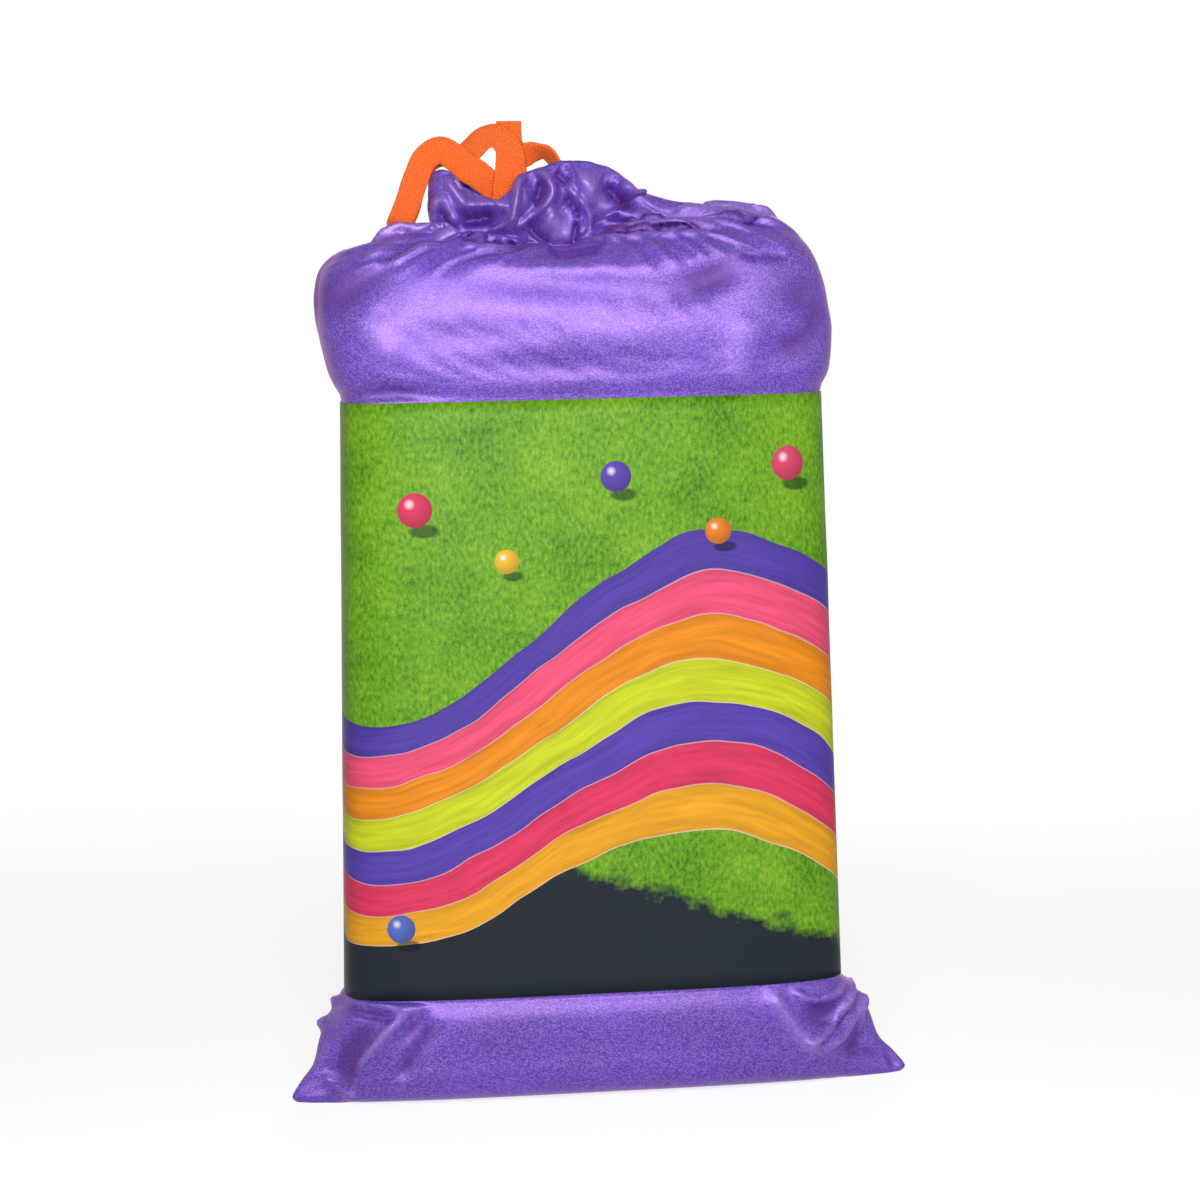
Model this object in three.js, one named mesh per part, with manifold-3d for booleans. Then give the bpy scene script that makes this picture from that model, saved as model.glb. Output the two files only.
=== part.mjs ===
// A play parachute folded inside its drawstring bag, with a card sleeve round the bag's waist.
// Millimetres, +Z up. The bag stands on z = 0 and its front faces -Y. X = 0 lies midway between its two ears.
import * as THREE from "three";
import { mergeVertices } from "three/addons/utils/BufferGeometryUtils.js";
import Module from "manifold-3d";

const wasm = await Module();
wasm.setup();

// Driving dimensions of the folded parachute
const GORE_COUNT = 8;
const GORE_THICKNESS = 1.3; // one gore, folded in half and pleated to the pack's width
const LAYER_GAP = 0.3;
const FOLD_RUNS = 4;
const RUN_LENGTH = 372;
const PACK_WIDTH = 200;
const VENT_RADIUS = 100;
const ARC_STEPS = 8;

// Rim handles, vent binding and vent mesh
const WEBBING_WIDTH = 0.8 * PACK_WIDTH / GORE_COUNT; // eight handles side by side over the pack
const WEBBING_SPACING = 1.1 * WEBBING_WIDTH;
const WEBBING_THICKNESS = 1.2;
const WEBBING_PLY_GAP = 0.6;
const HANDLE_LENGTH = 88;
const BINDING_THICKNESS = 1.5;
const MESH_WIDTH = 46;
const MESH_THICKNESS = 1;
const MESH_FOLD_PITCH = 2;
const MESH_FOLDS = 4;

// The bag: cloth, room round the pack, and how far it stands out from its waist
const CLOTH = 1.2;
const FIT = 0.3; // between pieces that touch
const SIDE_ROOM_BOTTOM = 23.5;
const SIDE_ROOM_TOP = 16.9;
const FACE_ROOM_BOTTOM = 7.4;
const FACE_ROOM_TOP = 11.3;
const BAG_OFFSET = -2.5; // the waist's middle from midway between the ears
const EAR_REACH = 156;
const EAR_SPREAD = 8;
const BULGE = 10; // the upper bag's stand-out over the waist
const SHOULDER_RISE = 13; // left shoulder over the folded pack
const SHOULDER_TILT = 8; // right shoulder over the left one

// The gathered neck and its hem
const NECK_X = -19.5;
const NECK_HALF_WIDTH = 43;
const NECK_HALF_DEPTH = 10.3;
const NECK_RISE = 22; // the neck's pinch over the folded pack
const HEM_HEIGHT = 43;
const HEM_HALF_WIDTH = 54;
const HEM_HALF_DEPTH = 17;
const HEM_PLEATS = 9;
const PLEAT_DEPTH = 3;
const THROAT_HALF_WIDTH = 36;
const THROAT_HALF_DEPTH = 4.5;

// The card sleeve
const CARD = 0.6;
const SLEEVE_BOTTOM = 54;
const SLEEVE_HEIGHT = 294;
const LAP_WIDTH = 16;

// The drawcord's flat tape
const TAPE_WIDTH = 12.5;
const TAPE_THICKNESS = 2.5;
const CASING_RISE = 4; // the casing's lower stitch line over the neck's pinch
const SLIT_WIDTH = 14;
const SLIT_LEFT_X = -45;
const SLIT_RIGHT_X = -12;
const ROUTE_NECK_Z = 420.8; // the neck's height for which the tape's routes below are written

// Round the sections go 4 quarters of this many steps
const QUARTER_STEPS = 12;
const SECTION_POWER = 4;

const LAYER_PITCH = GORE_THICKNESS + LAYER_GAP;
const RUN_DEPTH = GORE_COUNT * LAYER_PITCH;
const PACK_DEPTH = FOLD_RUNS * RUN_DEPTH;
const TURN_REACH = RUN_DEPTH - LAYER_PITCH / 2 + GORE_THICKNESS / 2; // the outer gore round a fold
const LOW_TURN_Z = CLOTH + FIT + TURN_REACH;
const HIGH_TURN_Z = LOW_TURN_Z + RUN_LENGTH;
const PACK_TOP = HIGH_TURN_Z + TURN_REACH;
const SLEEVE_TOP = SLEEVE_BOTTOM + SLEEVE_HEIGHT;
const NECK_Z = PACK_TOP + NECK_RISE;
const CASING_Z = NECK_Z + CASING_RISE;

const SATIN = 0x6a4bb8;
const PRINT_GREEN = 0x7db33c;
const TAPE_ORANGE = 0xf5641e;
const WEBBING_WHITE = 0xe8e6e0;
const MESH_BLACK = 0x24242a;
const GORE_COLOURS = [0x5f46b4, 0xd8e02c, 0xeb3c6e, 0xf9b431];

const lerp = (a, b, t) => a + (b - a) * t;

// Closed geometry from rows of points, all rows alike in number, with a fan over each end
function loft(rows) {
  const count = rows[0].length;
  const positions = [];
  const indices = [];
  rows.flat().forEach((p) => positions.push(p.x, p.y, p.z));
  for (let r = 0; r + 1 < rows.length; r++) {
    for (let i = 0; i < count; i++) {
      const a = r * count + i;
      const b = r * count + ((i + 1) % count);
      indices.push(a, b, b + count, a, b + count, a + count);
    }
  }
  [rows[0], rows[rows.length - 1]].forEach((row, end) => {
    const centre = new THREE.Vector3();
    row.forEach((p) => centre.addScaledVector(p, 1 / count));
    const hub = positions.length / 3;
    positions.push(centre.x, centre.y, centre.z);
    const first = end ? (rows.length - 1) * count : 0;
    for (let i = 0; i < count; i++) {
      const next = first + ((i + 1) % count);
      if (end) indices.push(first + i, next, hub);
      else indices.push(next, first + i, hub);
    }
  });
  return outward(positions, indices);
}

// Indexed geometry whose faces point outwards, whichever way its rows ran
function outward(positions, indices) {
  let volume = 0;
  const corner = [new THREE.Vector3(), new THREE.Vector3(), new THREE.Vector3()];
  for (let i = 0; i < indices.length; i += 3) {
    corner.forEach((v, k) => v.fromArray(positions, 3 * indices[i + k]));
    volume += corner[0].dot(corner[1].cross(corner[2])) / 6;
  }
  if (volume < 0) indices.reverse();
  const geometry = new THREE.BufferGeometry();
  geometry.setAttribute("position", new THREE.Float32BufferAttribute(positions, 3));
  geometry.setIndex(indices);
  return geometry;
}

function solidOf(geometry) {
  const bare = geometry.clone();
  bare.deleteAttribute("normal");
  bare.deleteAttribute("uv");
  const merged = mergeVertices(bare, 1e-4);
  return new wasm.Manifold(
    new wasm.Mesh({
      numProp: 3,
      vertProperties: new Float32Array(merged.attributes.position.array),
      triVerts: new Uint32Array(merged.index.array),
    }),
  );
}

function geometryOf(solid) {
  const mesh = solid.getMesh();
  const geometry = new THREE.BufferGeometry();
  geometry.setAttribute("position", new THREE.Float32BufferAttribute(mesh.vertProperties, 3));
  geometry.setIndex(Array.from(mesh.triVerts));
  return geometry;
}

function boxSolid(low, high) {
  const size = new THREE.Vector3().subVectors(high, low);
  const box = new THREE.BoxGeometry(size.x, size.y, size.z);
  box.translate((low.x + high.x) / 2, (low.y + high.y) / 2, (low.z + high.z) / 2);
  return solidOf(box);
}

// One level of a soft shell: a superellipse round middle, reaching left and right by different
// amounts, tilted along X and dipping towards front and back. Ear is the share of the way out to
// EAR_REACH that a thin ear at each side seam takes.
function section(level) {
  const { middle = BAG_OFFSET, left, right, depth, ear = 0, dip = 0, pleat = 0 } = level;
  const leftZ = level.leftZ ?? level.z;
  const rightZ = level.rightZ ?? level.z;
  const points = [];
  for (let i = 0; i < 4 * QUARTER_STEPS; i++) {
    const share = (i % QUARTER_STEPS) / QUARTER_STEPS;
    const eased = share * share * (3 - 2 * share);
    const angle = (Math.floor(i / QUARTER_STEPS) + eased) * (Math.PI / 2);
    const c = Math.cos(angle);
    const s = -Math.sin(angle);
    const power = 2 / SECTION_POWER;
    const wave = pleat * Math.cos(2 * HEM_PLEATS * angle) * Math.min(1, 2 * Math.abs(s));
    const y = Math.sign(s) * (depth * Math.abs(s) ** power + wave);
    const side = c > 0 ? right : left;
    const beyond = Math.max(0, EAR_REACH - Math.sign(c) * middle - side);
    const earThere = ear * beyond * Math.exp(-((y / EAR_SPREAD) ** 2));
    const x = Math.sign(c) * (side * Math.abs(c) ** power + earThere);
    const across = (x + left) / (left + right);
    const z = lerp(leftZ, rightZ, across) - dip * (y / depth) ** 2;
    points.push(new THREE.Vector3(middle + x, y, z));
  }
  return points;
}

// The bag's waist, where the sleeve holds it: share 0 at the sleeve's lower edge, 1 at its upper
function waist(share, grow = 0) {
  const side = lerp(SIDE_ROOM_BOTTOM, SIDE_ROOM_TOP, share);
  const face = lerp(FACE_ROOM_BOTTOM, FACE_ROOM_TOP, share);
  const width = PACK_WIDTH / 2 + side + CLOTH + grow;
  return { left: width, right: width, depth: PACK_DEPTH / 2 + face + CLOTH + grow };
}

// The bag's levels from the floor to the neck
function bagLevels() {
  const low = waist(0);
  const high = waist(1);
  const body = (share, side, face, ear) => ({
    z: SLEEVE_BOTTOM * share,
    left: low.left + side,
    right: low.right + side,
    depth: low.depth + face,
    ear,
  });
  const bulge = (share, left, right, depth) => ({
    z: lerp(SLEEVE_TOP, PACK_TOP, share),
    left: high.left + BULGE * left,
    right: high.right + BULGE * right,
    depth: high.depth + depth,
  });
  const shoulder = (rise, tilt, left, right, depth, dip) => ({
    leftZ: PACK_TOP + SHOULDER_RISE * rise,
    rightZ: PACK_TOP + SHOULDER_RISE * rise + SHOULDER_TILT * tilt,
    left: high.left * left,
    right: high.right * right,
    depth: high.depth * depth,
    dip,
  });
  return [
    body(0, -10, -5.5, 1),
    body(0.07, -5, -1, 1),
    body(0.2, -2, 1, 0.78),
    body(0.34, 0, 2, 0.62),
    body(0.6, 2, 2, 0.42),
    body(0.8, 3, 1.5, 0.2),
    { z: SLEEVE_BOTTOM - FIT, ...low },
    { z: SLEEVE_TOP + FIT, ...high },
    bulge(0.25, 0.55, 0.52, 2),
    bulge(0.6, 1, 0.65, 3),
    bulge(0.95, 1.2, 0.45, 2),
    shoulder(0.8, 0.5, 1.06, 0.99, 0.94, 1),
    shoulder(1.5, 1, 0.99, 0.93, 0.78, 4),
    shoulder(2.15, 1.1, 0.81, 0.8, 0.56, 7),
    shoulder(2.4, 1.3, 0.63, 0.52, 0.38, 9),
    {
      z: NECK_Z,
      left: NECK_HALF_WIDTH - (NECK_X - BAG_OFFSET),
      right: NECK_HALF_WIDTH + (NECK_X - BAG_OFFSET),
      depth: NECK_HALF_DEPTH,
    },
  ];
}

// The bag's hollow: each level drawn in by the cloth, without the ears, and lower where the bag closes
function hollowLevels() {
  const lowered = (z) => (z > PACK_TOP ? z - 2 * CLOTH : Math.max(z, CLOTH));
  return bagLevels().map((level) => ({
    ...level,
    left: level.left - CLOTH,
    right: level.right - CLOTH,
    depth: level.depth - CLOTH,
    ear: 0,
    leftZ: lowered(level.leftZ ?? level.z),
    rightZ: lowered(level.rightZ ?? level.z),
  }));
}

// The hem above the neck: it flares from the pinch to its pleated edge, higher in two places
function hemRows() {
  const grow = (share) => ({
    middle: NECK_X,
    left: lerp(NECK_HALF_WIDTH, HEM_HALF_WIDTH, share),
    right: lerp(NECK_HALF_WIDTH, HEM_HALF_WIDTH, share),
    depth: lerp(NECK_HALF_DEPTH, HEM_HALF_DEPTH, share),
    pleat: PLEAT_DEPTH * share,
    z: NECK_Z + HEM_HEIGHT * share,
  });
  const edge = section(grow(1));
  edge.forEach((p) => {
    const u = (p.x - NECK_X) / HEM_HALF_WIDTH;
    const dipLeft = 0.4 * Math.exp(-(((u + 0.42) / 0.24) ** 2));
    const fallRight = 0.34 * Math.max(0, u - 0.45) / 0.55;
    const fallLeft = 0.14 * Math.max(0, -u - 0.7) / 0.3;
    p.z -= HEM_HEIGHT * (dipLeft + fallRight + fallLeft);
  });
  const root = section({ ...grow(0), left: NECK_HALF_WIDTH - 1, right: NECK_HALF_WIDTH - 1, z: NECK_Z - CLOTH });
  return [root, section(grow(0)), section(grow(0.28)), section(grow(0.45)), edge];
}

// The way down between the hem's two sides, where the drawcord comes up
function throatRows() {
  const at = (share, z) =>
    section({
      middle: NECK_X,
      left: THROAT_HALF_WIDTH + (HEM_HALF_WIDTH - NECK_HALF_WIDTH) * share,
      right: THROAT_HALF_WIDTH + (HEM_HALF_WIDTH - NECK_HALF_WIDTH) * share,
      depth: THROAT_HALF_DEPTH + (HEM_HALF_DEPTH - NECK_HALF_DEPTH) * share,
      z,
    });
  return [at(0, NECK_Z + CLOTH), at(0, NECK_Z + HEM_HEIGHT * 0.4), at(1, NECK_Z + HEM_HEIGHT + 1)];
}

// A band standing on edge round the throat, used for the tape in the casing and for its channel
function casingBand(thickness, low, high) {
  const middle = (NECK_HALF_DEPTH + THROAT_HALF_DEPTH) / 2;
  const side = THROAT_HALF_WIDTH + middle - THROAT_HALF_DEPTH;
  const row = (grow, z) =>
    section({ middle: NECK_X, left: side + grow, right: side + grow, depth: middle + grow, z });
  const outer = solidOf(loft([row(thickness / 2, low), row(thickness / 2, high)]));
  const inner = solidOf(loft([row(-thickness / 2, low - 1), row(-thickness / 2, high + 1)]));
  return outer.subtract(inner);
}

function slit(x, side) {
  const low = new THREE.Vector3(x - SLIT_WIDTH / 2, side < 0 ? -NECK_HALF_DEPTH / 1.4 : 0, CASING_Z);
  const high = new THREE.Vector3(x + SLIT_WIDTH / 2, side < 0 ? 0 : NECK_HALF_DEPTH / 1.4, CASING_Z + TAPE_WIDTH);
  return boxSolid(low, high);
}

function bagPanels() {
  const channel = casingBand(TAPE_THICKNESS + 2 * FIT, CASING_Z - FIT, CASING_Z + TAPE_WIDTH + FIT);
  const bag = solidOf(loft(bagLevels().map(section)))
    .subtract(solidOf(loft(hollowLevels().map(section))))
    .add(solidOf(loft(hemRows())))
    .subtract(solidOf(loft(throatRows())))
    .subtract(channel)
    .subtract(slit(SLIT_LEFT_X, -1))
    .subtract(slit(SLIT_RIGHT_X, 1));
  const far = 2 * EAR_REACH;
  const back = boxSolid(new THREE.Vector3(-far, -FIT / 2, -far), new THREE.Vector3(far, far, 4 * far));
  const front = boxSolid(new THREE.Vector3(-far, -far, -far), new THREE.Vector3(far, FIT / 2, 4 * far));
  return [geometryOf(bag.subtract(back)), geometryOf(bag.subtract(front))];
}

function cardSleeve() {
  const row = (share, grow, past = 0) =>
    section({ ...waist(share, grow), z: lerp(SLEEVE_BOTTOM, SLEEVE_TOP, share) + past });
  const outer = solidOf(loft([row(0, FIT + CARD), row(1, FIT + CARD)]));
  const inner = solidOf(loft([row(-0.01, FIT), row(1.01, FIT)]));
  const lapRow = (share) => {
    const { depth } = waist(share, FIT + CARD);
    const z = lerp(SLEEVE_BOTTOM, SLEEVE_TOP, share);
    const [x0, x1] = [BAG_OFFSET - LAP_WIDTH / 2, BAG_OFFSET + LAP_WIDTH / 2];
    const [y0, y1] = [depth - CARD / 2, depth + CARD];
    return [
      new THREE.Vector3(x0, y0, z),
      new THREE.Vector3(x1, y0, z),
      new THREE.Vector3(x1, y1, z),
      new THREE.Vector3(x0, y1, z),
    ];
  };
  const lap = solidOf(loft([lapRow(0), lapRow(1)]));
  return geometryOf(outer.subtract(inner).add(lap));
}

// A flat band whose centre line is a path of [y, z] points, its width along X set point by point
function ribbon(path, thickness, halfWidths, middle = 0) {
  const rows = path.map(([y, z], i) => {
    const [py, pz] = path[Math.max(0, i - 1)];
    const [ny, nz] = path[Math.min(path.length - 1, i + 1)];
    const before = new THREE.Vector2(y - py, z - pz).normalize();
    const after = new THREE.Vector2(ny - y, nz - z).normalize();
    const along = before.clone().add(after).normalize();
    const lean = Math.max(0.5, along.dot(before.lengthSq() ? before : after));
    const out = new THREE.Vector2(-along.y, along.x).multiplyScalar(thickness / 2 / lean);
    const w = halfWidths[i];
    return [
      new THREE.Vector3(middle - w, y - out.x, z - out.y),
      new THREE.Vector3(middle + w, y - out.x, z - out.y),
      new THREE.Vector3(middle + w, y + out.x, z + out.y),
      new THREE.Vector3(middle - w, y + out.x, z + out.y),
    ];
  });
  return loft(rows);
}

function lengthsAlong(path) {
  const lengths = [0];
  for (let i = 1; i < path.length; i++) {
    lengths.push(lengths[i - 1] + Math.hypot(path[i][0] - path[i - 1][0], path[i][1] - path[i - 1][1]));
  }
  return lengths;
}

// Where gore number k lies in each run of the pack. The order turns round at every fold.
const runMiddle = (run) => (run - (FOLD_RUNS - 1) / 2) * RUN_DEPTH;
const goreShift = (run, k) => (run % 2 ? -1 : 1) * (k - (GORE_COUNT - 1) / 2) * LAYER_PITCH;

function gorePath(k) {
  const path = [];
  const runSteps = 4;
  for (let run = 0; run < FOLD_RUNS; run++) {
    const up = run % 2 === 0;
    const y = runMiddle(run) + goreShift(run, k);
    for (let i = 0; i <= runSteps; i++) {
      const share = up ? i / runSteps : 1 - i / runSteps;
      path.push([y, lerp(LOW_TURN_Z, HIGH_TURN_Z, share)]);
    }
    if (run + 1 === FOLD_RUNS) break;
    const centre = runMiddle(run) + RUN_DEPTH / 2;
    const radius = centre - y;
    for (let i = 1; i < ARC_STEPS; i++) {
      const angle = (Math.PI * i) / ARC_STEPS;
      const z = up ? HIGH_TURN_Z + radius * Math.sin(angle) : LOW_TURN_Z - radius * Math.sin(angle);
      path.push([centre - radius * Math.cos(angle), z]);
    }
  }
  return path;
}

// A gore folded in half is as wide as an eighth of half the circle there, up to the pack's width
function gore(k) {
  const path = gorePath(k);
  const lengths = lengthsAlong(path);
  const total = lengths[lengths.length - 1];
  const halfWidths = lengths.map((s) => {
    const fromCentre = total - s + VENT_RADIUS;
    return Math.min(PACK_WIDTH, (Math.PI * fromCentre) / GORE_COUNT) / 2;
  });
  return ribbon(path, GORE_THICKNESS, halfWidths);
}

// A webbing loop sewn under its gore's rim, led forward under the pack, up its front and back down
function rimHandle(k) {
  const rimY = runMiddle(0) + goreShift(0, k) - FIT;
  const rimZ = LOW_TURN_Z - FIT;
  const ply = WEBBING_THICKNESS + WEBBING_PLY_GAP;
  const innerZ = rimZ - 2 * WEBBING_THICKNESS;
  const innerY = -PACK_DEPTH / 2 - FIT - 1.5 * WEBBING_THICKNESS;
  const topZ = innerZ + HANDLE_LENGTH;
  const path = [
    [rimY, rimZ],
    [rimY, innerZ],
    [innerY, innerZ],
    [innerY, topZ],
    [innerY - ply, topZ],
    [innerY - ply, innerZ],
  ];
  const half = path.map(() => WEBBING_WIDTH / 2);
  return ribbon(path, WEBBING_THICKNESS, half, (k - (GORE_COUNT - 1) / 2) * WEBBING_SPACING);
}

const APEX_Y = runMiddle(FOLD_RUNS - 1);
const APEX_HALF_WIDTH = (Math.PI * VENT_RADIUS) / GORE_COUNT / 2;

// The tape that joins the narrow ends of all the gores, just under them
function ventBinding() {
  const z = LOW_TURN_Z - FIT - BINDING_THICKNESS / 2;
  const path = [
    [APEX_Y - RUN_DEPTH / 2, z],
    [APEX_Y + RUN_DEPTH / 2 - LAYER_GAP, z],
  ];
  return ribbon(path, BINDING_THICKNESS, [APEX_HALF_WIDTH, APEX_HALF_WIDTH]);
}

// The round mesh of the vent, folded to and fro under its binding
function ventMesh() {
  const top = LOW_TURN_Z - 2 * FIT - BINDING_THICKNESS - MESH_THICKNESS / 2;
  const reach = RUN_DEPTH / 2 - MESH_THICKNESS;
  const path = [];
  for (let fold = 0; fold < MESH_FOLDS; fold++) {
    const z = top - fold * MESH_FOLD_PITCH;
    const forward = fold % 2 ? 1 : -1;
    path.push([APEX_Y - forward * reach, z], [APEX_Y + forward * reach, z]);
  }
  return ribbon(path, MESH_THICKNESS, path.map(() => MESH_WIDTH / 2));
}

// The drawcord: a flat tape, square cut, carried along each stretch's route
function tapeAlong(points, steps) {
  const places = points.map(([x, y, z]) => new THREE.Vector3(x, y, z + NECK_Z - ROUTE_NECK_Z));
  const curve = new THREE.CatmullRomCurve3(places, false, "centripetal");
  const w = TAPE_WIDTH / 2;
  const t = TAPE_THICKNESS / 2;
  const outline = [
    [-t, 0.9 * w],
    [-0.5 * t, w],
    [0.5 * t, w],
    [t, 0.9 * w],
    [t, -0.9 * w],
    [0.5 * t, -w],
    [-0.5 * t, -w],
    [-t, -0.9 * w],
  ].map(([x, y]) => new THREE.Vector2(x, y));
  return new THREE.ExtrudeGeometry(new THREE.Shape(outline), { steps, extrudePath: curve });
}

function casingTape() {
  const band = casingBand(TAPE_THICKNESS, CASING_Z, CASING_Z + TAPE_WIDTH);
  return geometryOf(band);
}

// Routes of the free stretches, from inside the throat
const LOOP_ROUTE = [
  [-40, 2.8, 423],
  [-40, 2.8, 434],
  [-40.4, 2.7, 443],
  [-43.5, 1.6, 451],
  [-50, 0.2, 457],
  [-57, -1.6, 461.5],
  [-63, -3, 466.5],
  [-69.5, -3.6, 469.8],
  [-77, -3.2, 465.5],
  [-81.5, -3, 456],
  [-86, -2.5, 444],
  [-89.8, 0, 435],
  [-90, 3.6, 434],
  [-86, 6, 441],
  [-82.5, 6, 453],
  [-77.4, 5.5, 463],
  [-69.5, 5, 468],
  [-62, 5, 467],
  [-56.5, 4.6, 467.5],
  [-52.5, 4.2, 471],
  [-47.5, 3.6, 475.3],
  [-41, 2.8, 476.6],
  [-35.8, 0.6, 471.5],
  [-34.8, -2, 462],
  [-35.6, -2.4, 448],
  [-37, -1.6, 436],
  [-37.5, -1.6, 423],
];
const END_ROUTE = [
  [-8.5, 0, 423],
  [-9, 0, 436],
  [-9.5, 1, 450],
  [-11.5, 2.5, 461],
  [-16.5, 4, 468],
  [-23, 5.5, 468.5],
  [-29, 6.6, 467],
  [-33.5, 7.3, 471],
  [-34.5, 7.5, 477.5],
  [-34.5, 7.5, 483.9],
];

const parachute = new THREE.Group();

function addPiece(name, geometry, color, roughness = 0.6, metalness = 0) {
  const material = new THREE.MeshStandardMaterial({ color, roughness, metalness });
  const piece = new THREE.Mesh(geometry, material);
  piece.name = name;
  parachute.add(piece);
}

const [frontPanel, backPanel] = bagPanels();
addPiece("bag_front_panel", frontPanel, SATIN, 0.35);
addPiece("bag_back_panel", backPanel, SATIN, 0.35);
addPiece("card_sleeve", cardSleeve(), PRINT_GREEN, 0.3);
addPiece("drawcord_in_casing", casingTape(), TAPE_ORANGE, 0.85);
addPiece("drawcord_loops", tapeAlong(LOOP_ROUTE, 60), TAPE_ORANGE, 0.85);
addPiece("drawcord_end", tapeAlong(END_ROUTE, 18), TAPE_ORANGE, 0.85);
for (let k = 0; k < GORE_COUNT; k++) {
  addPiece(`gore_${k + 1}`, gore(k), GORE_COLOURS[k % GORE_COLOURS.length], 0.5);
}
for (let k = 0; k < GORE_COUNT; k++) {
  addPiece(`rim_handle_${k + 1}`, rimHandle(k), WEBBING_WHITE, 0.8);
}
addPiece("vent_binding", ventBinding(), WEBBING_WHITE, 0.8);
addPiece("vent_mesh", ventMesh(), MESH_BLACK, 0.7);

export default parachute;
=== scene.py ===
# %% [markdown]
# # A play parachute in its drawstring bag
# A folded parachute fills a purple satin bag. A printed card sleeve holds the bag's waist, and a flat
# orange tape gathers its neck.
# Each piece below is a surface worked out with numpy, so its shape can be read as a formula.
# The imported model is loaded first. It fixes the size of everything, and each new piece moves with one
# of its bodies.

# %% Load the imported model
import time

import bmesh
import bpy
import numpy as np
from mathutils import Matrix, Vector


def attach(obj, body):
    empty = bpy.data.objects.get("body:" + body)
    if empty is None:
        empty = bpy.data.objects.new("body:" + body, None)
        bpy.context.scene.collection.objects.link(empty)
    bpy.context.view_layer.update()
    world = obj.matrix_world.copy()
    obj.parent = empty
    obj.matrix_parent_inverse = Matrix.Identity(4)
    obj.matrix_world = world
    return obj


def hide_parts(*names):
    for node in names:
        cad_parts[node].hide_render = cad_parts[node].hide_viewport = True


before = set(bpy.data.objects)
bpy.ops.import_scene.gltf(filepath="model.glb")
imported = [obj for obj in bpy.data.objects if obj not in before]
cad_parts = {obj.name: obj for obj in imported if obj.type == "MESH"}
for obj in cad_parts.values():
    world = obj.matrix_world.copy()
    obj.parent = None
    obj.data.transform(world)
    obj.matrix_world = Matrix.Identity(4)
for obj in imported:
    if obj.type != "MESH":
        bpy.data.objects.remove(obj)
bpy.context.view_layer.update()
MM = 0.001

# %% [markdown]
# ## The camera and the studio
# The picture was taken from a little above and from the bag's left, close to eye height.
# The camera's axes are worked out from where it stands and the point that it looks at. A small roll
# is added, because the table's edge rises to the right.
# The background is white through Light Path: camera, glossy and transmission rays see white, while
# the cloth itself is lit by soft lamps.

# %% Camera
CAMERA_DISTANCE = 1500
CAMERA_AZIMUTH = -6.5
CAMERA_HEIGHT = 400
CAMERA_AIM = (5, 0, 246)
CAMERA_ROLL = 1.2
VIEW_WIDTH = 600  # of the plane through the aim, across the square picture
SENSOR = 36


def place_camera():
    """Looks from the stated azimuth at the aim. The lens is the sensor times distance over view width."""
    azimuth = np.radians(CAMERA_AZIMUTH)
    spot = Vector((np.sin(azimuth), -np.cos(azimuth), 0)) * CAMERA_DISTANCE
    spot.z = CAMERA_HEIGHT
    aim = Vector(CAMERA_AIM)
    turn = (aim - spot).to_track_quat("-Z", "Y").to_matrix().to_4x4()
    roll = Matrix.Rotation(np.radians(-CAMERA_ROLL), 4, "Z")
    lens = bpy.data.cameras.new("camera")
    lens.sensor_width = SENSOR
    lens.lens = SENSOR * (aim - spot).length / VIEW_WIDTH
    camera = bpy.data.objects.new("camera", lens)
    camera.matrix_world = Matrix.Translation(spot * MM) @ turn @ roll
    bpy.context.collection.objects.link(camera)
    bpy.context.scene.camera = camera
    return camera


camera = place_camera()
print("lens %.0f mm" % camera.data.lens)

# %% Small helpers for node materials
BLACK = (0, 0, 0, 1)
WHITE = (1, 1, 1, 1)


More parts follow.
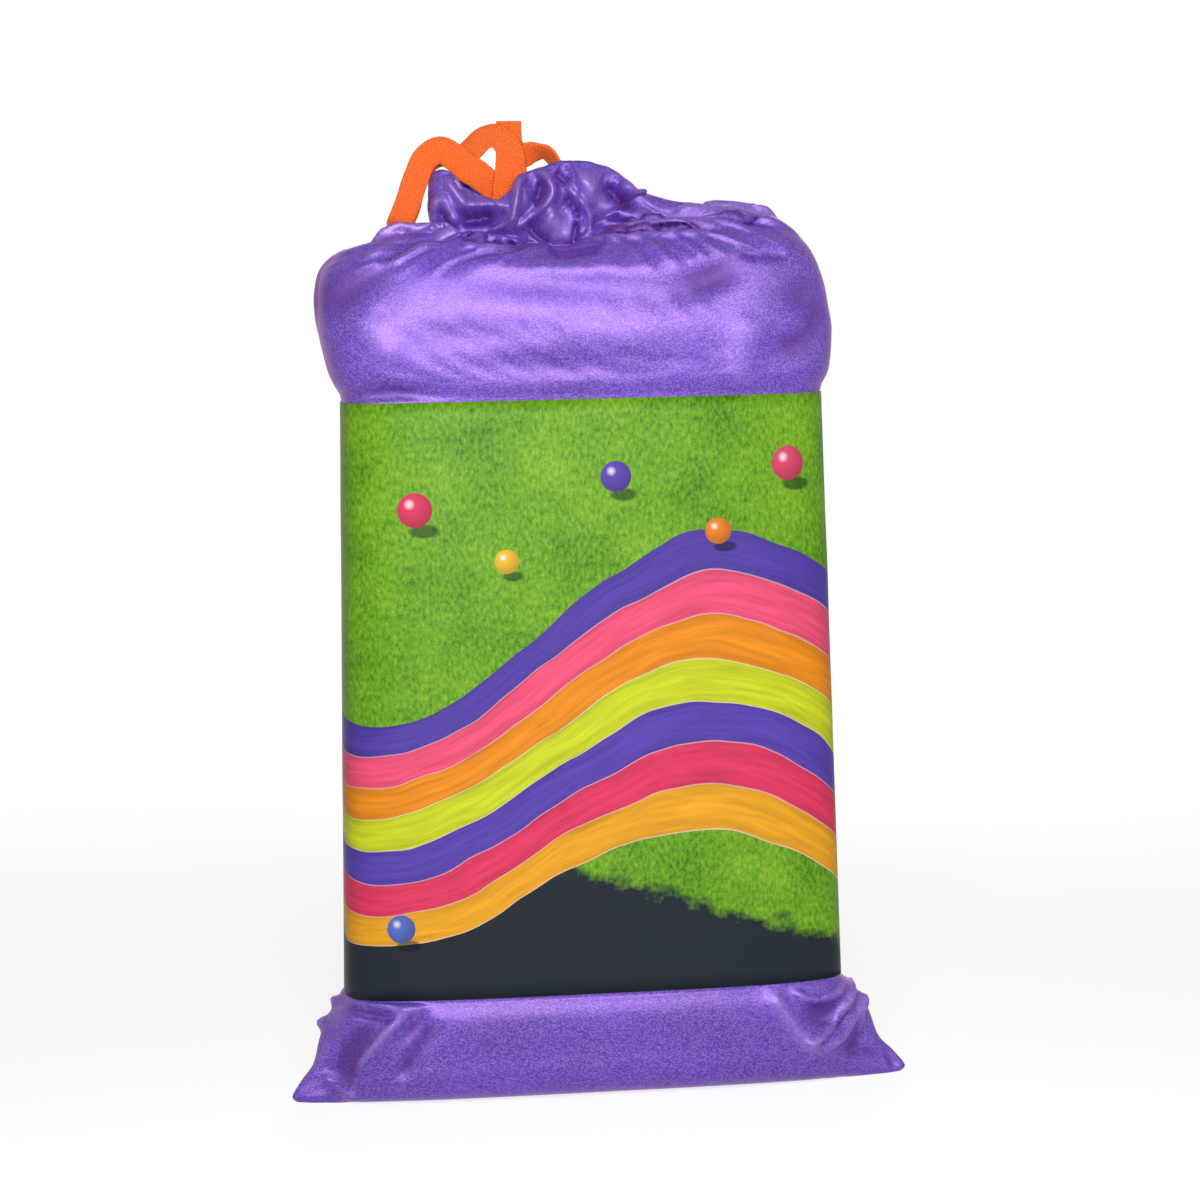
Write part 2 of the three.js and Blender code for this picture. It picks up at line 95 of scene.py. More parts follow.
class Nodes:
    """Builds a material's node tree in short lines: each call adds a node and links what it is given."""

    def __init__(self, name):
        self.material = bpy.data.materials.new(name)
        self.material.use_nodes = True
        self.tree = self.material.node_tree
        self.tree.nodes.clear()

    def add(self, kind, inputs=None, **settings):
        """A node with its settings. Inputs that are sockets are linked, and other values are set."""
        node = self.tree.nodes.new("ShaderNode" + kind)
        for key, value in settings.items():
            setattr(node, key, value)
        for key, value in (inputs or {}).items():
            if isinstance(value, bpy.types.NodeSocket):
                self.tree.links.new(value, node.inputs[key])
            else:
                node.inputs[key].default_value = value
        return node

    def math(self, operation, first, second=0.0, third=0.0):
        """One sum of up to three numbers or sockets."""
        return self.add("Math", {0: first, 1: second, 2: third}, operation=operation).outputs[0]

    def times(self, first, second, plus=0.0):
        """The first times the second, plus a third."""
        return self.math("MULTIPLY_ADD", first, second, plus)

    def sine(self, value, scale, plus=0.0):
        """The sine of a value that is scaled and shifted."""
        return self.math("SINE", self.times(value, scale, plus))

    def vector(self, operation, first, second=(0, 0, 0)):
        """One sum of two vectors. A length or a distance comes out as a number."""
        node = self.add("VectorMath", {0: first, 1: second}, operation=operation)
        return node.outputs["Value" if operation in ("LENGTH", "DISTANCE") else "Vector"]

    def scaled(self, vector, scale):
        """A vector with each of its numbers scaled."""
        return self.add("Mapping", {"Vector": vector, "Scale": scale}).outputs[0]

    def mix(self, factor, first, second, blend="MIX"):
        """Two colours mixed."""
        inputs = {0: factor, 6: first, 7: second}
        return self.add("Mix", inputs, data_type="RGBA", blend_type=blend).outputs[2]

    def ramp(self, factor, stops, interpolation="LINEAR"):
        """A colour ramp from a list of (place, colour)."""
        node = self.add("ValToRGB", {0: factor})
        node.color_ramp.interpolation = interpolation
        while len(node.color_ramp.elements) < len(stops):
            node.color_ramp.elements.new(0.5)
        for element, (place, colour) in zip(node.color_ramp.elements, stops):
            element.position = place
            element.color = colour
        return node.outputs[0]

    def rise(self, value, low, high, interpolation="LINEAR"):
        """A share that is 0 up to the low value and 1 from the high one."""
        return self.ramp(value, [(low, BLACK), (high, WHITE)], interpolation)

    def noise(self, vector, scale, detail=2.0, roughness=0.5, distortion=0.0):
        """Smooth noise, as a number about a half."""
        inputs = {"Vector": vector, "Scale": scale, "Detail": detail, "Roughness": roughness}
        inputs["Distortion"] = distortion
        return self.add("TexNoise", inputs).outputs[0]

    def bump(self, height, strength, distance, before=None):
        """A bump from a height, on top of another bump where one is given."""
        inputs = {"Height": height, "Strength": strength, "Distance": distance}
        if before is not None:
            inputs["Normal"] = before
        return self.add("Bump", inputs).outputs[0]

    def uv(self):
        """The piece's own UV map, and its two numbers apart."""
        uv = self.add("UVMap", uv_map="UVMap").outputs[0]
        parts = self.add("SeparateXYZ", {0: uv})
        return uv, parts.outputs[0], parts.outputs[1]

    def finish(self, shader):
        """Links the shader to the material's output and hands the material back."""
        self.add("OutputMaterial", {"Surface": shader.outputs[0]})
        return self.material

    def principled(self, inputs):
        """Ends the material with the usual shader, set by its inputs."""
        return self.finish(self.add("BsdfPrincipled", inputs))


def srgb(red, green, blue):
    """A colour of 0 to 255 on screen, as the linear numbers that a shader takes."""
    screen = np.array((red, green, blue)) / 255
    linear = np.where(screen <= 0.04045, screen / 12.92, ((screen + 0.055) / 1.055) ** 2.4)
    return (*linear.tolist(), 1.0)


def darker(colour, share):
    """A colour with less light in it."""
    return tuple(share * value for value in colour[:3]) + (1.0,)


# %% Studio
AMBIENT = 0.1
PAPER = (0.92, 0.92, 0.92, 1)
FLOOR_GLOW = 1.2
GLOW_SHARE = 0.64  # how much of what a ray sees of the floor is glow, which leaves a faint shadow
FLOOR_RADIUS = 1200
FLOOR_FADE = (450, 1100)


def sees_background(nodes):
    """1 for camera, glossy and transmission rays, which see a plain white studio."""
    path = nodes.add("LightPath")
    seen = nodes.math("MAXIMUM", path.outputs["Is Camera Ray"], path.outputs["Is Glossy Ray"])
    return nodes.math("MAXIMUM", seen, path.outputs["Is Transmission Ray"])


def studio_world():
    """White where rays see it, and a softer white as light."""
    nodes = Nodes("studio_light")
    world = bpy.data.worlds.new("studio")
    world.use_nodes = True
    bpy.data.materials.remove(nodes.material)
    nodes.tree = world.node_tree
    nodes.tree.nodes.clear()
    strength = nodes.add("MapRange", {"Value": sees_background(nodes), "To Min": AMBIENT, "To Max": 1.0})
    background = nodes.add("Background", {"Color": WHITE, "Strength": strength.outputs[0]})
    nodes.add("OutputWorld", {"Surface": background.outputs[0]})
    bpy.context.scene.world = world


def studio_floor():
    """A round pale floor. It is white to the camera, less the shadow that the object casts on it, and
    it fades into the white studio before its edge."""
    turn = np.linspace(0, 2 * np.pi, 96, endpoint=False)
    rim = np.stack([np.cos(turn), np.sin(turn), 0 * turn], -1) * FLOOR_RADIUS * MM
    mesh = bpy.data.meshes.new("floor")
    mesh.from_pydata(rim.tolist(), [], [list(range(len(rim)))])
    floor = bpy.data.objects.new("floor", mesh)
    bpy.context.collection.objects.link(floor)
    nodes = Nodes("floor_paper")
    paper = nodes.add("BsdfDiffuse", {"Color": PAPER})
    glow = nodes.add("Emission", {"Color": WHITE, "Strength": FLOOR_GLOW})
    share = nodes.math("MULTIPLY", sees_background(nodes), GLOW_SHARE)
    lit = nodes.add("MixShader", {0: share, 1: paper.outputs[0], 2: glow.outputs[0]})
    place = nodes.add("TexCoord").outputs["Object"]
    near, far = (edge * MM for edge in FLOOR_FADE)
    inputs = {"Value": nodes.vector("LENGTH", place), "From Min": near, "From Max": far}
    fade = nodes.add("MapRange", inputs, interpolation_type="SMOOTHSTEP").outputs[0]
    clear = nodes.add("BsdfTransparent")
    blend = nodes.add("MixShader", {0: fade, 1: lit.outputs[0], 2: clear.outputs[0]})
    mesh.materials.append(nodes.finish(blend))


def lamp(name, spot, aim, size, power):
    """A square soft lamp at a spot, turned to its aim, in millimetres and watts."""
    light = bpy.data.lights.new(name, "AREA")
    light.size = size * MM
    light.energy = power
    holder = bpy.data.objects.new(name, light)
    turn = (Vector(aim) - Vector(spot)).to_track_quat("-Z", "Y").to_matrix().to_4x4()
    holder.matrix_world = Matrix.Translation(Vector(spot) * MM) @ turn
    bpy.context.collection.objects.link(holder)


bpy.context.scene.view_settings.view_transform = "Standard"
studio_world()
studio_floor()
lamp("key", (-110, -1060, 540), (0, 0, 270), 460, 15)
lamp("fill", (1000, -1100, 500), (0, 0, 230), 800, 2)
lamp("back", (300, 1400, 500), (0, 0, 240), 700, 9)

# %% [markdown]
# ## Surfaces from numpy
# A piece is a grid of points. Rows run one way and columns the other, and the faces follow from the
# grid's size alone. Sheets get their thickness as a second grid, set back along the normals and
# joined to the first one round its edges, so every piece is closed.

# %% Grid helpers
UV_UNIT = 100  # millimetres of cloth or card to one unit of the UV map


def smoothstep(t):
    """Eases from 0 to 1: 3 t^2 - 2 t^3, held outside."""
    t = np.clip(t, 0, 1)
    return t * t * (3 - 2 * t)


def unit(vectors):
    """Vectors made one long."""
    return vectors / np.maximum(np.linalg.norm(vectors, axis=-1, keepdims=True), 1e-9)


def lengths_along(points):
    """How far along its line each point lies: the sum of the steps before it, down the first axis."""
    steps = np.linalg.norm(np.diff(points, axis=0), axis=-1)
    return np.concatenate([0 * steps[:1], np.cumsum(steps, axis=0)])


def normals_of(points, closed=False):
    """Unit normals of a grid: the cross product of its steps along columns and along rows."""
    if closed:
        along_columns = (np.roll(points, -1, 1) - np.roll(points, 1, 1)) / 2
    else:
        along_columns = np.gradient(points, axis=1)
    return unit(np.cross(along_columns, np.gradient(points, axis=0)))


def grid_faces(rows, columns, closed_rows=False, closed_columns=False, first=0):
    """Quads of a grid of rows times columns. A closed way joins its last line to its first."""
    r = np.arange(rows if closed_rows else rows - 1)[:, None]
    c = np.arange(columns if closed_columns else columns - 1)[None, :]
    r2, c2 = (r + 1) % rows, (c + 1) % columns
    quads = [r * columns + c, r * columns + c2, r2 * columns + c2, r2 * columns + c]
    return np.stack(quads, -1).reshape(-1, 4) + first


def add_mesh(name, points, faces, uv=None, smooth=True):
    """A new object from points in millimetres and faces, with one UV pair for each corner of a face."""
    mesh = bpy.data.meshes.new(name)
    faces = np.asarray(faces, np.int32)
    points = np.asarray(points, float).reshape(-1, 3) * MM
    mesh.vertices.add(len(points))
    mesh.vertices.foreach_set("co", points.ravel())
    mesh.loops.add(faces.size)
    mesh.loops.foreach_set("vertex_index", faces.ravel())
    mesh.polygons.add(len(faces))
    mesh.polygons.foreach_set("loop_start", np.arange(0, faces.size, faces.shape[1], dtype=np.int32))
    mesh.update(calc_edges=True)
    mesh.validate()
    if smooth:
        mesh.polygons.foreach_set("use_smooth", np.ones(len(mesh.polygons), bool))
    if uv is not None:
        layer = mesh.uv_layers.new(name="UVMap")
        layer.data.foreach_set("uv", np.asarray(uv, np.float32).reshape(-1, 2)[faces.ravel()].ravel())
    made = bpy.data.objects.new(name, mesh)
    bpy.context.collection.objects.link(made)
    return made


def merge_outward(piece):
    """Joins points that share a place and turns every face outwards."""
    shape = bmesh.new()
    shape.from_mesh(piece.data)
    bmesh.ops.remove_doubles(shape, verts=shape.verts, dist=1e-6)
    bmesh.ops.recalc_face_normals(shape, faces=shape.faces)
    shape.to_mesh(piece.data)
    shape.free()


def thick_sheet(outer, inner):
    """Points and faces of a closed sheet: a grid, the grid behind it, and a rim round their edges."""
    rows, columns = outer.shape[:2]
    count = rows * columns
    front = grid_faces(rows, columns)
    back = grid_faces(rows, columns, first=count)[:, ::-1]
    index = np.arange(count).reshape(rows, columns)
    edge = np.concatenate([index[0, :-1], index[:-1, -1], index[-1, :0:-1], index[:0:-1, 0]])
    after = np.roll(edge, -1)
    rim = np.stack([after, edge, edge + count, after + count], -1)
    points = np.concatenate([outer.reshape(-1, 3), inner.reshape(-1, 3)])
    return points, np.concatenate([front, back, rim])


def sheet_mesh(name, outer, inner, uv, turned=False, smooth=True):
    """A new closed sheet from its two grids, with the same UV on both."""
    points, faces = thick_sheet(outer, inner)
    uv = np.reshape(uv, (-1, 2))
    return add_mesh(name, points, faces[:, ::-1] if turned else faces, np.concatenate([uv, uv]), smooth)


def finish_piece(piece, body, slot, material, *nodes):
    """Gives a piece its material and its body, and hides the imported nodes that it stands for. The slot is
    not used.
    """
    piece.data.materials.append(material)
    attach(piece, body)
    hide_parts(*nodes)
    print("%s: %d faces" % (piece.name, len(piece.data.polygons)))
    return piece


# %% [markdown]
# ## The drawcord
# The drawcord is a flat, soft, knitted tape about 12.5 mm wide. Its loops come up out of the bag's
# throat, lie over the left of the hem and go back in, and one square-cut end stands up behind them.
# It is swept along a smooth curve through given points. The tape's face is kept towards the
# front and leans a little along its way, because a limp tape is never quite flat.
# UV runs along and across the tape, so the knit follows every bend.

# %% Routes of the drawcord, in millimetres, the same as the imported model's
LOOP_ROUTE = [
    [-40, 2.8, 423], [-40, 2.8, 434], [-40.4, 2.7, 443], [-43.5, 1.6, 451], [-50, 0.2, 457],
    [-57, -1.6, 461.5], [-63, -3, 466.5], [-69.5, -3.6, 469.8], [-77, -3.2, 465.5], [-81.5, -3, 456],
    [-86, -2.5, 444], [-89.8, 0, 435], [-90, 3.6, 434], [-86, 6, 441], [-82.5, 6, 453], [-77.4, 5.5, 463],
    [-69.5, 5, 468], [-62, 5, 467], [-56.5, 4.6, 467.5], [-52.5, 4.2, 471], [-47.5, 3.6, 475.3],
    [-41, 2.8, 476.6], [-35.8, 0.6, 471.5], [-34.8, -2, 462], [-35.6, -2.4, 448], [-37, -1.6, 436],
    [-37.5, -1.6, 423],
]
END_ROUTE = [
    [-8.5, 0, 423], [-9, 0, 436], [-9.5, 1, 450], [-11.5, 2.5, 461], [-16.5, 4, 468], [-23, 5.5, 468.5],
    [-29, 6.6, 467], [-33.5, 7.3, 471], [-34.5, 7.5, 477.5], [-34.5, 7.5, 483.9],
]
TAPE_WIDTH = 12.5
TAPE_THICKNESS = 2.2
TAPE_STEP = 0.9
RIPPLES = (5.3, 3.1)  # the lengths of the edge's waves over 2 pi
# How much wider the tape lies, and how far it leans in degrees, at even places along each stretch.
LOOP_SPREAD = (1, 1, 1.05, 1.15, 1.08, 1, 1, 1, 1, 1, 1, 1.05, 1.1, 1.15, 1.4, 1.35, 1)
LOOP_LEAN = (0, 2, 4, -4, -8, -6, 4, 2, 4, 6, 12, 30, 34, 12, 4, 0, 0)
END_SPREAD = (1, 1)
END_LEAN = (0, 0, 5, 45, 70, 60, 15, 0, 0)


def curve_through(route, count):
    """A centripetal Catmull-Rom curve through a route, at evenly spaced lengths along it."""
    p = np.asarray(route, float)
    p = np.vstack([2 * p[0] - p[1], p, 2 * p[-1] - p[-2]])
    knots = np.concatenate([[0], np.cumsum(np.linalg.norm(np.diff(p, axis=0), axis=1) ** 0.5)])
    t = np.linspace(knots[1], knots[-2], 40 * len(route))
    k = np.clip(np.searchsorted(knots, t, side="right") - 1, 1, len(p) - 3)
    t0, t1, t2, t3 = (knots[k + i][:, None] for i in (-1, 0, 1, 2))
    p0, p1, p2, p3 = (p[k + i] for i in (-1, 0, 1, 2))
    t = t[:, None]
    a = (t1 - t) / (t1 - t0) * p0 + (t - t0) / (t1 - t0) * p1
    b = (t2 - t) / (t2 - t1) * p1 + (t - t1) / (t2 - t1) * p2
    c = (t3 - t) / (t3 - t2) * p2 + (t - t2) / (t3 - t2) * p3
    d = (t2 - t) / (t2 - t0) * a + (t - t0) / (t2 - t0) * b
    e = (t3 - t) / (t3 - t1) * b + (t - t1) / (t3 - t1) * c
    fine = (t2 - t) / (t2 - t1) * d + (t - t1) / (t2 - t1) * e
    along = lengths_along(fine)
    even = np.linspace(0, along[-1], count)
    return np.stack([np.interp(even, along, fine[:, i]) for i in range(3)], -1), along[-1]


def tape_mesh(name, route, spread, lean, ripple):
    """A band swept along a route. Its section is a flat oval with full edges: the width times
    cos(a)^0.75, the thickness times sin(a)^0.6. The band leans about its own length by lean degrees,
    and its edges ripple a little, because a knitted tape is soft."""
    count = int(curve_through(route, 2)[1] / TAPE_STEP)
    line, length = curve_through(route, count)
    tangent = unit(np.gradient(line, axis=0))
    across = unit(np.cross(tangent, (0, -1, 0)))
    through = np.cross(across, tangent)
    s = np.linspace(0, length, count)
    turn = np.radians(np.interp(s, np.linspace(0, length, len(lean)), lean))[:, None]
    wide = across * np.cos(turn) + through * np.sin(turn)
    thin = (through * np.cos(turn) - across * np.sin(turn))[:, None, :]
    angle = np.linspace(0, 2 * np.pi, 24, endpoint=False)
    c, sn = np.cos(angle), np.sin(angle)
    half_wide = TAPE_WIDTH / 2 * np.sign(c) * np.abs(c) ** 0.75
    half_thin = TAPE_THICKNESS / 2 * np.sign(sn) * np.abs(sn) ** 0.6
    half_thin = np.where(np.abs(sn) < 1e-9, 0, half_thin)
    wave = ripple * np.sin(s / RIPPLES[0])[:, None] * (c**3)[None, :]
    wave += 0.5 * ripple * np.sin(s / RIPPLES[1] + 1)[:, None] * (c**2)[None, :]
    spread = np.interp(s, np.linspace(0, length, len(spread)), spread)[:, None, None]
    band = line[:, None, :] + spread * wide[:, None, :] * half_wide[None, :, None]
    points = band + thin * (half_thin + wave)[..., None]
    flat = band + thin * wave[..., None]
    points = np.concatenate([flat[:1], points, flat[-1:]])
    s = np.concatenate([s[:1], s, s[-1:]])
    width_share = half_wide / TAPE_WIDTH + 0.5
    uv = np.stack(np.broadcast_arrays(s[:, None] / TAPE_WIDTH, width_share[None, :]), -1)
    piece = add_mesh(name, points, grid_faces(len(s), len(angle), closed_columns=True), uv)
    merge_outward(piece)
    return piece, line, length


print("routes:", len(LOOP_ROUTE), "and", len(END_ROUTE), "points")

# %% Ways to fold cloth
FOLD_ENDS = 0.25  # the share of a fold's length over which it fades


def waves(x, y, scale, seed, detail):
    """Smooth random hills from -1 to 1: a sum of sine waves in random directions, each octave half as
    long and half as high as the one before."""
    draw = np.random.RandomState(seed)
    total = np.zeros(np.broadcast(x, y).shape)
    for octave in range(detail):
        for _ in range(5):
            turn, phase = draw.uniform(0, 2 * np.pi, 2)
            stretch = draw.uniform(0.7, 1.3) * 2 * np.pi * 2**octave / scale
            total += np.sin((x * np.cos(turn) + y * np.sin(turn)) * stretch + phase) / 2**octave
    return total / 5


def window(value, low, rise, high, fall):
    """0 outside two places and 1 between them, eased over the rise and the fall inside them."""
    return smoothstep((value - low) / rise) * smoothstep((high - value) / fall)


def crease(x, y, route, width, height, step):
    """A fold along a route of points. Across it the height is a bell, exp(-(d / width)^2), times the
    height plus a step that falls to one side. It fades in and out towards its ends."""
    route = np.reshape(route, (-1, 2)).astype(float)
    nearest = np.full(x.shape, 1e9)
    signed = np.zeros(x.shape)
    along = np.zeros(x.shape)
    starts = lengths_along(route)
    lengths = np.diff(starts)
    for i, (a, b) in enumerate(zip(route[:-1], route[1:])):
        way = (b - a) / lengths[i]
        dx, dy = x - a[0], y - a[1]
        t = np.clip(dx * way[0] + dy * way[1], 0, lengths[i])
        off = np.hypot(dx - t * way[0], dy - t * way[1])
        closer = off < nearest
        nearest = np.where(closer, off, nearest)
        signed = np.where(closer, np.sign(dx * way[1] - dy * way[0]) * off, signed)
        along = np.where(closer, starts[i] + t, along)
    fade = window(along / starts[-1], 0, FOLD_ENDS, 1, FOLD_ENDS)
    d = signed / width
    return fade * np.exp(-(d**2)) * (height + step * d)


# %% [markdown]
# ## The bag
# The real bag is two pieces of satin sewn at the sides and the bottom. It is stuffed from the sleeve up,
# so it bulges there; at the floor its flat corners stand out as two thin ears; and its hem is a puffy
# tunnel bunched up on the drawcord.
# It is made in three steps. First a tube of cloth is laid out along a stack of levels, each a rounded
# rectangle, with the first pleats of the gathered neck. Then that tube is let go as cloth: each thread
# has its own true length, and the stuffing and the floor hold it from inside and below. The form stays
# as it was laid out, and a share of the small folds that the cloth made by itself is added to it. Last,
# the large folds that the picture shows are pressed in, each along its own line. A full simulation of
# such a tight bag folds its front where the real one is smooth, so this way was chosen.

# %% Levels of the bag, from the floor to its neck, in millimetres
BAG_MIDDLE = -2.5
EAR_REACH = 156  # from the middle to an ear's tip
EAR_SPREAD = 14  # how far from the seam an ear has spread into the bag
EAR_POINT = 1.3  # a higher power makes the ear blunter
EAR_FORWARD = 9  # how far the ears' tips stand towards the front
SLEEVE_BOTTOM = 54
SLEEVE_TOP = 348
LEVELS = np.array([
    # z left, z right, left, right, half depth, ear, dip
    (0, 0, 119, 119, 15, 0.94, 0),
    (3, 3, 121, 121, 28.5, 1, 0),
    (10.8, 10.8, 122.7, 122.7, 35.4, 0.84, 0),
    (18.4, 18.4, 124.7, 124.7, 36.4, 0.62, 0),
    (32.4, 32.4, 126.7, 126.7, 36.6, 0.44, 0),
    (43.2, 43.2, 127.7, 127.7, 36, 0.22, 0),
    (50.8, 50.8, 125.3, 125.3, 34.4, 0.03, 0),
    (53.6, 53.6, 124.4, 124.4, 34.0, 0, 0),
    (345, 345, 118.2, 118.2, 37.9, 0, 0),
    (350.5, 350.5, 118.8, 118.8, 38.6, 0, 0),
    (360.7, 360.7, 123.6, 123.3, 40.6, 0, 0),
    (378.5, 378.5, 128.1, 124.8, 41.6, 0, 0),
    (396.3, 396.3, 130.4, 122.6, 40.6, 0, 0),
    (409.2, 412.0, 128.2, 117.5, 38.8, 0, 1),
    (418.3, 424.0, 120.5, 110.5, 34.5, 0, 5),
    (425.5, 434.0, 98, 95.5, 25, 0, 9.5),
    (428, 438.5, 83, 64, 16, 0, 13),
    (430, 448, 70.5, 29, 10, 0, 19),
])
NECK_LEVEL = len(LEVELS) - 1
COLUMNS = 187  # of points, from seam to seam
FINE_COLUMNS = 1600  # of the section before it is spaced evenly
ROUND = 2 * (COLUMNS - 1)
FLOOR_ROWS = 9  # of the bottom, from the seam to the first level
ROW_PLACES = np.concatenate([
    np.linspace(0, 7, 40, endpoint=False),
    np.linspace(7, 8, 12, endpoint=False),
    np.linspace(8, 12, 32, endpoint=False),
    np.linspace(12, 17, 46),
])
HEM_UP = 26  # rows of the hem's outer layer
HEM_DOWN = 20  # rows of its inner layer
HEM_END = 0.12  # where the inner layer ends, as a share of the hem's height
DIP_MIDDLE = -10
DIP_WIDTH = 26
DIP_REST = 0.25  # the share of the dip that stays far from its middle


def monotone(at, places, values):
    """Values between given ones, on cubics whose slopes never overshoot: each slope is the harmonic
    mean of its two neighbours' steps, or nothing where they turn."""
    steps = np.diff(values, axis=0) / np.diff(places)[:, None]
    before, after = steps[:-1], steps[1:]
    rising = before * after > 0
    slope = np.where(rising, 2 * before * after / np.where(rising, before + after, 1), 0)
    slope = np.concatenate([steps[:1], slope, steps[-1:]])
    i = np.clip(np.searchsorted(places, at, side="right") - 1, 0, len(places) - 2)
    width = (places[i + 1] - places[i])[:, None]
    t = (at - places[i])[:, None] / width
    blend = 3 * t**2 - 2 * t**3
    flat = values[i] + (values[i + 1] - values[i]) * blend
    lean = width * (t * (1 - t) ** 2 * slope[i] - t**2 * (1 - t) * slope[i + 1])
    return flat + lean


def level_rows(levels, columns, side):
    """Half sections of the bag, one for each row of level values: x = size cos(a)^(1/2) and
    y = depth sin(a)^(1/2), which is a rounded rectangle, with an ear added beyond the side where the
    cloth is near the seam. Each row is then spaced evenly along its length, from left to right."""
    zl, zr, left, right, depth, ear, dip = (levels[:, i, None] for i in range(7))
    angle = np.linspace(0, np.pi, FINE_COLUMNS)[None, :]
    c, s = -np.cos(angle), np.sin(angle)
    y = depth * np.abs(s) ** 0.5
    reach = np.where(c > 0, right, left)
    beyond = np.maximum(0, EAR_REACH - np.sign(c) * BAG_MIDDLE - reach)
    thin = ear * beyond * np.exp(-((y / EAR_SPREAD) ** EAR_POINT))
    x = np.sign(c) * (reach * np.abs(c) ** 0.5 + thin)
    middle = DIP_REST + (1 - DIP_REST) * np.exp(-(((x - DIP_MIDDLE) / DIP_WIDTH) ** 2))
    z = zl + (zr - zl) * (x + left) / (left + right) - dip * middle * (y / depth) ** 2
    forward = EAR_FORWARD * thin / np.maximum(beyond, 1e-6)
    fine = np.stack([BAG_MIDDLE + x, side * y - forward, z], -1)
    along = lengths_along(fine.swapaxes(0, 1)).T
    along /= along[:, -1:]
    even = np.linspace(0, 1, columns)
    rows = [[np.interp(even, a, f[:, i]) for i in range(3)] for a, f in zip(along, fine)]
    return np.transpose(np.array(rows), (0, 2, 1))


def all_round(front, back):
    """One closed ring of columns from two halves: along the front from left to right, then back."""
    return np.concatenate([front, back[:, -2:0:-1]], axis=1)


def half_of(ring, side):
    """The front's or the back's columns of a closed ring, from left to right."""
    if side < 0:
        return ring[:, :COLUMNS]
    return np.concatenate([ring[:, :1], ring[:, : COLUMNS - 2 : -1]], axis=1)


def bag_levels():
    """The tube from the bottom seam over the floor's edge and up to the neck."""
    places = np.arange(len(LEVELS), dtype=float)
    values = monotone(ROW_PLACES, places, LEVELS)
    halves = [level_rows(values, COLUMNS, side) for side in (-1, 1)]
    floor = []
    for half in halves:
        share = np.sqrt(np.linspace(0.0004, 1, FLOOR_ROWS, endpoint=False))[:, None]
        under = np.repeat(half[:1], FLOOR_ROWS, axis=0)
        under[..., 1] *= share
        floor.append(np.concatenate([under, half]))
    return all_round(*floor)


# %% The hem and its pleats
HEM_MIDDLE = -19.5
NECK_SIDES = (53.5, 46)  # how far the neck reaches, left and right
HEM_SIDES = (0.2, 4)  # how far the top edge spreads past the neck, left and right
HEM_DEPTHS = (9.0, 12.0)  # half depth at the neck and at the top
HEM_PUFF = 2.4  # how far the tunnel's two layers bulge apart
HEM_SQUARE = 3.2  # the power of the neck's rounded outline
FRONT_STAND = 0.45  # the front's first pleats are lower, and its large folds are pressed in later
HEM_STAND = (3.6, 5.4)  # how far the first pleats stand in and out, at the neck and at the top
FRONT_EDGE = [
    (-78, 452), (-74, 459), (-69, 461), (-63, 459), (-55, 450), (-48, 446), (-42, 446), (-36, 450),
    (-31, 459), (-26, 459), (-19, 462), (-13, 464.5), (2.6, 463.5), (11, 461), (18, 456), (23, 452.5),
    (28, 448.5), (36, 446),
]
BACK_EDGE = [
    (-78, 452), (-68, 454), (-58, 458), (-48, 452), (-38, 456), (-27, 454), (-15, 459), (-3, 457),
    (8, 459), (18, 455), (27, 449), (36, 446),
]
# Crests and valleys of the first pleats: x at the neck, x at the top, how far out from -1 to 1.
FRONT_PLEATS = np.array([
    (-70, -86, -0.4), (-56, -69, 1.0), (-45, -50, -1.0), (-35, -34, 1.1), (-27, -25, -1.0),
    (-19, -17, 0.8), (-11, -9, -0.7), (-2, 1, 1.0), (8, 14, -1.0), (16, 23, 0.8), (24, 32, -0.5),
    (34, 44, 0.3),
])
BACK_PLEATS = np.array([
    (-70, -86, 0.4), (-60, -74, -0.8), (-52, -62, 1.0), (-43, -50, -0.4), (-34, -38, 1.0),
    (-24, -26, -1.0), (-14, -13, 1.1), (-5, -3, -0.9), (4, 8, 1.0), (12, 17, -0.9), (20, 27, 0.9),
    (34, 44, -0.3),
])


def pleat_wave(x, share, pleats):
    """In and out from -1 to 1: eased from each crest to the next valley."""
    total = np.zeros(np.broadcast(x, share).shape)
    places = pleats[:, 0] + (pleats[:, 1] - pleats[:, 0]) * np.asarray(share)[..., None]
    for i in range(len(pleats) - 1):
        t = (x - places[..., i]) / (places[..., i + 1] - places[..., i])
        inside = (t >= 0) & (t < 1)
        value = pleats[i, 2] + (pleats[i + 1, 2] - pleats[i, 2]) * smoothstep(t)
        total = np.where(inside, value, total)
    return total


def smoothed(values, reach=4):
    """Values averaged with their neighbours along the last axis, weighted by a bell."""
    weights = np.exp(-(np.linspace(-1.6, 1.6, 2 * reach + 1) ** 2))
    weights /= weights.sum()
    padded = np.pad(values, [(0, 0)] * (values.ndim - 1) + [(reach, reach)], mode="edge")
    count = values.shape[-1]
    return sum(w * padded[..., i : i + count] for i, w in enumerate(weights))


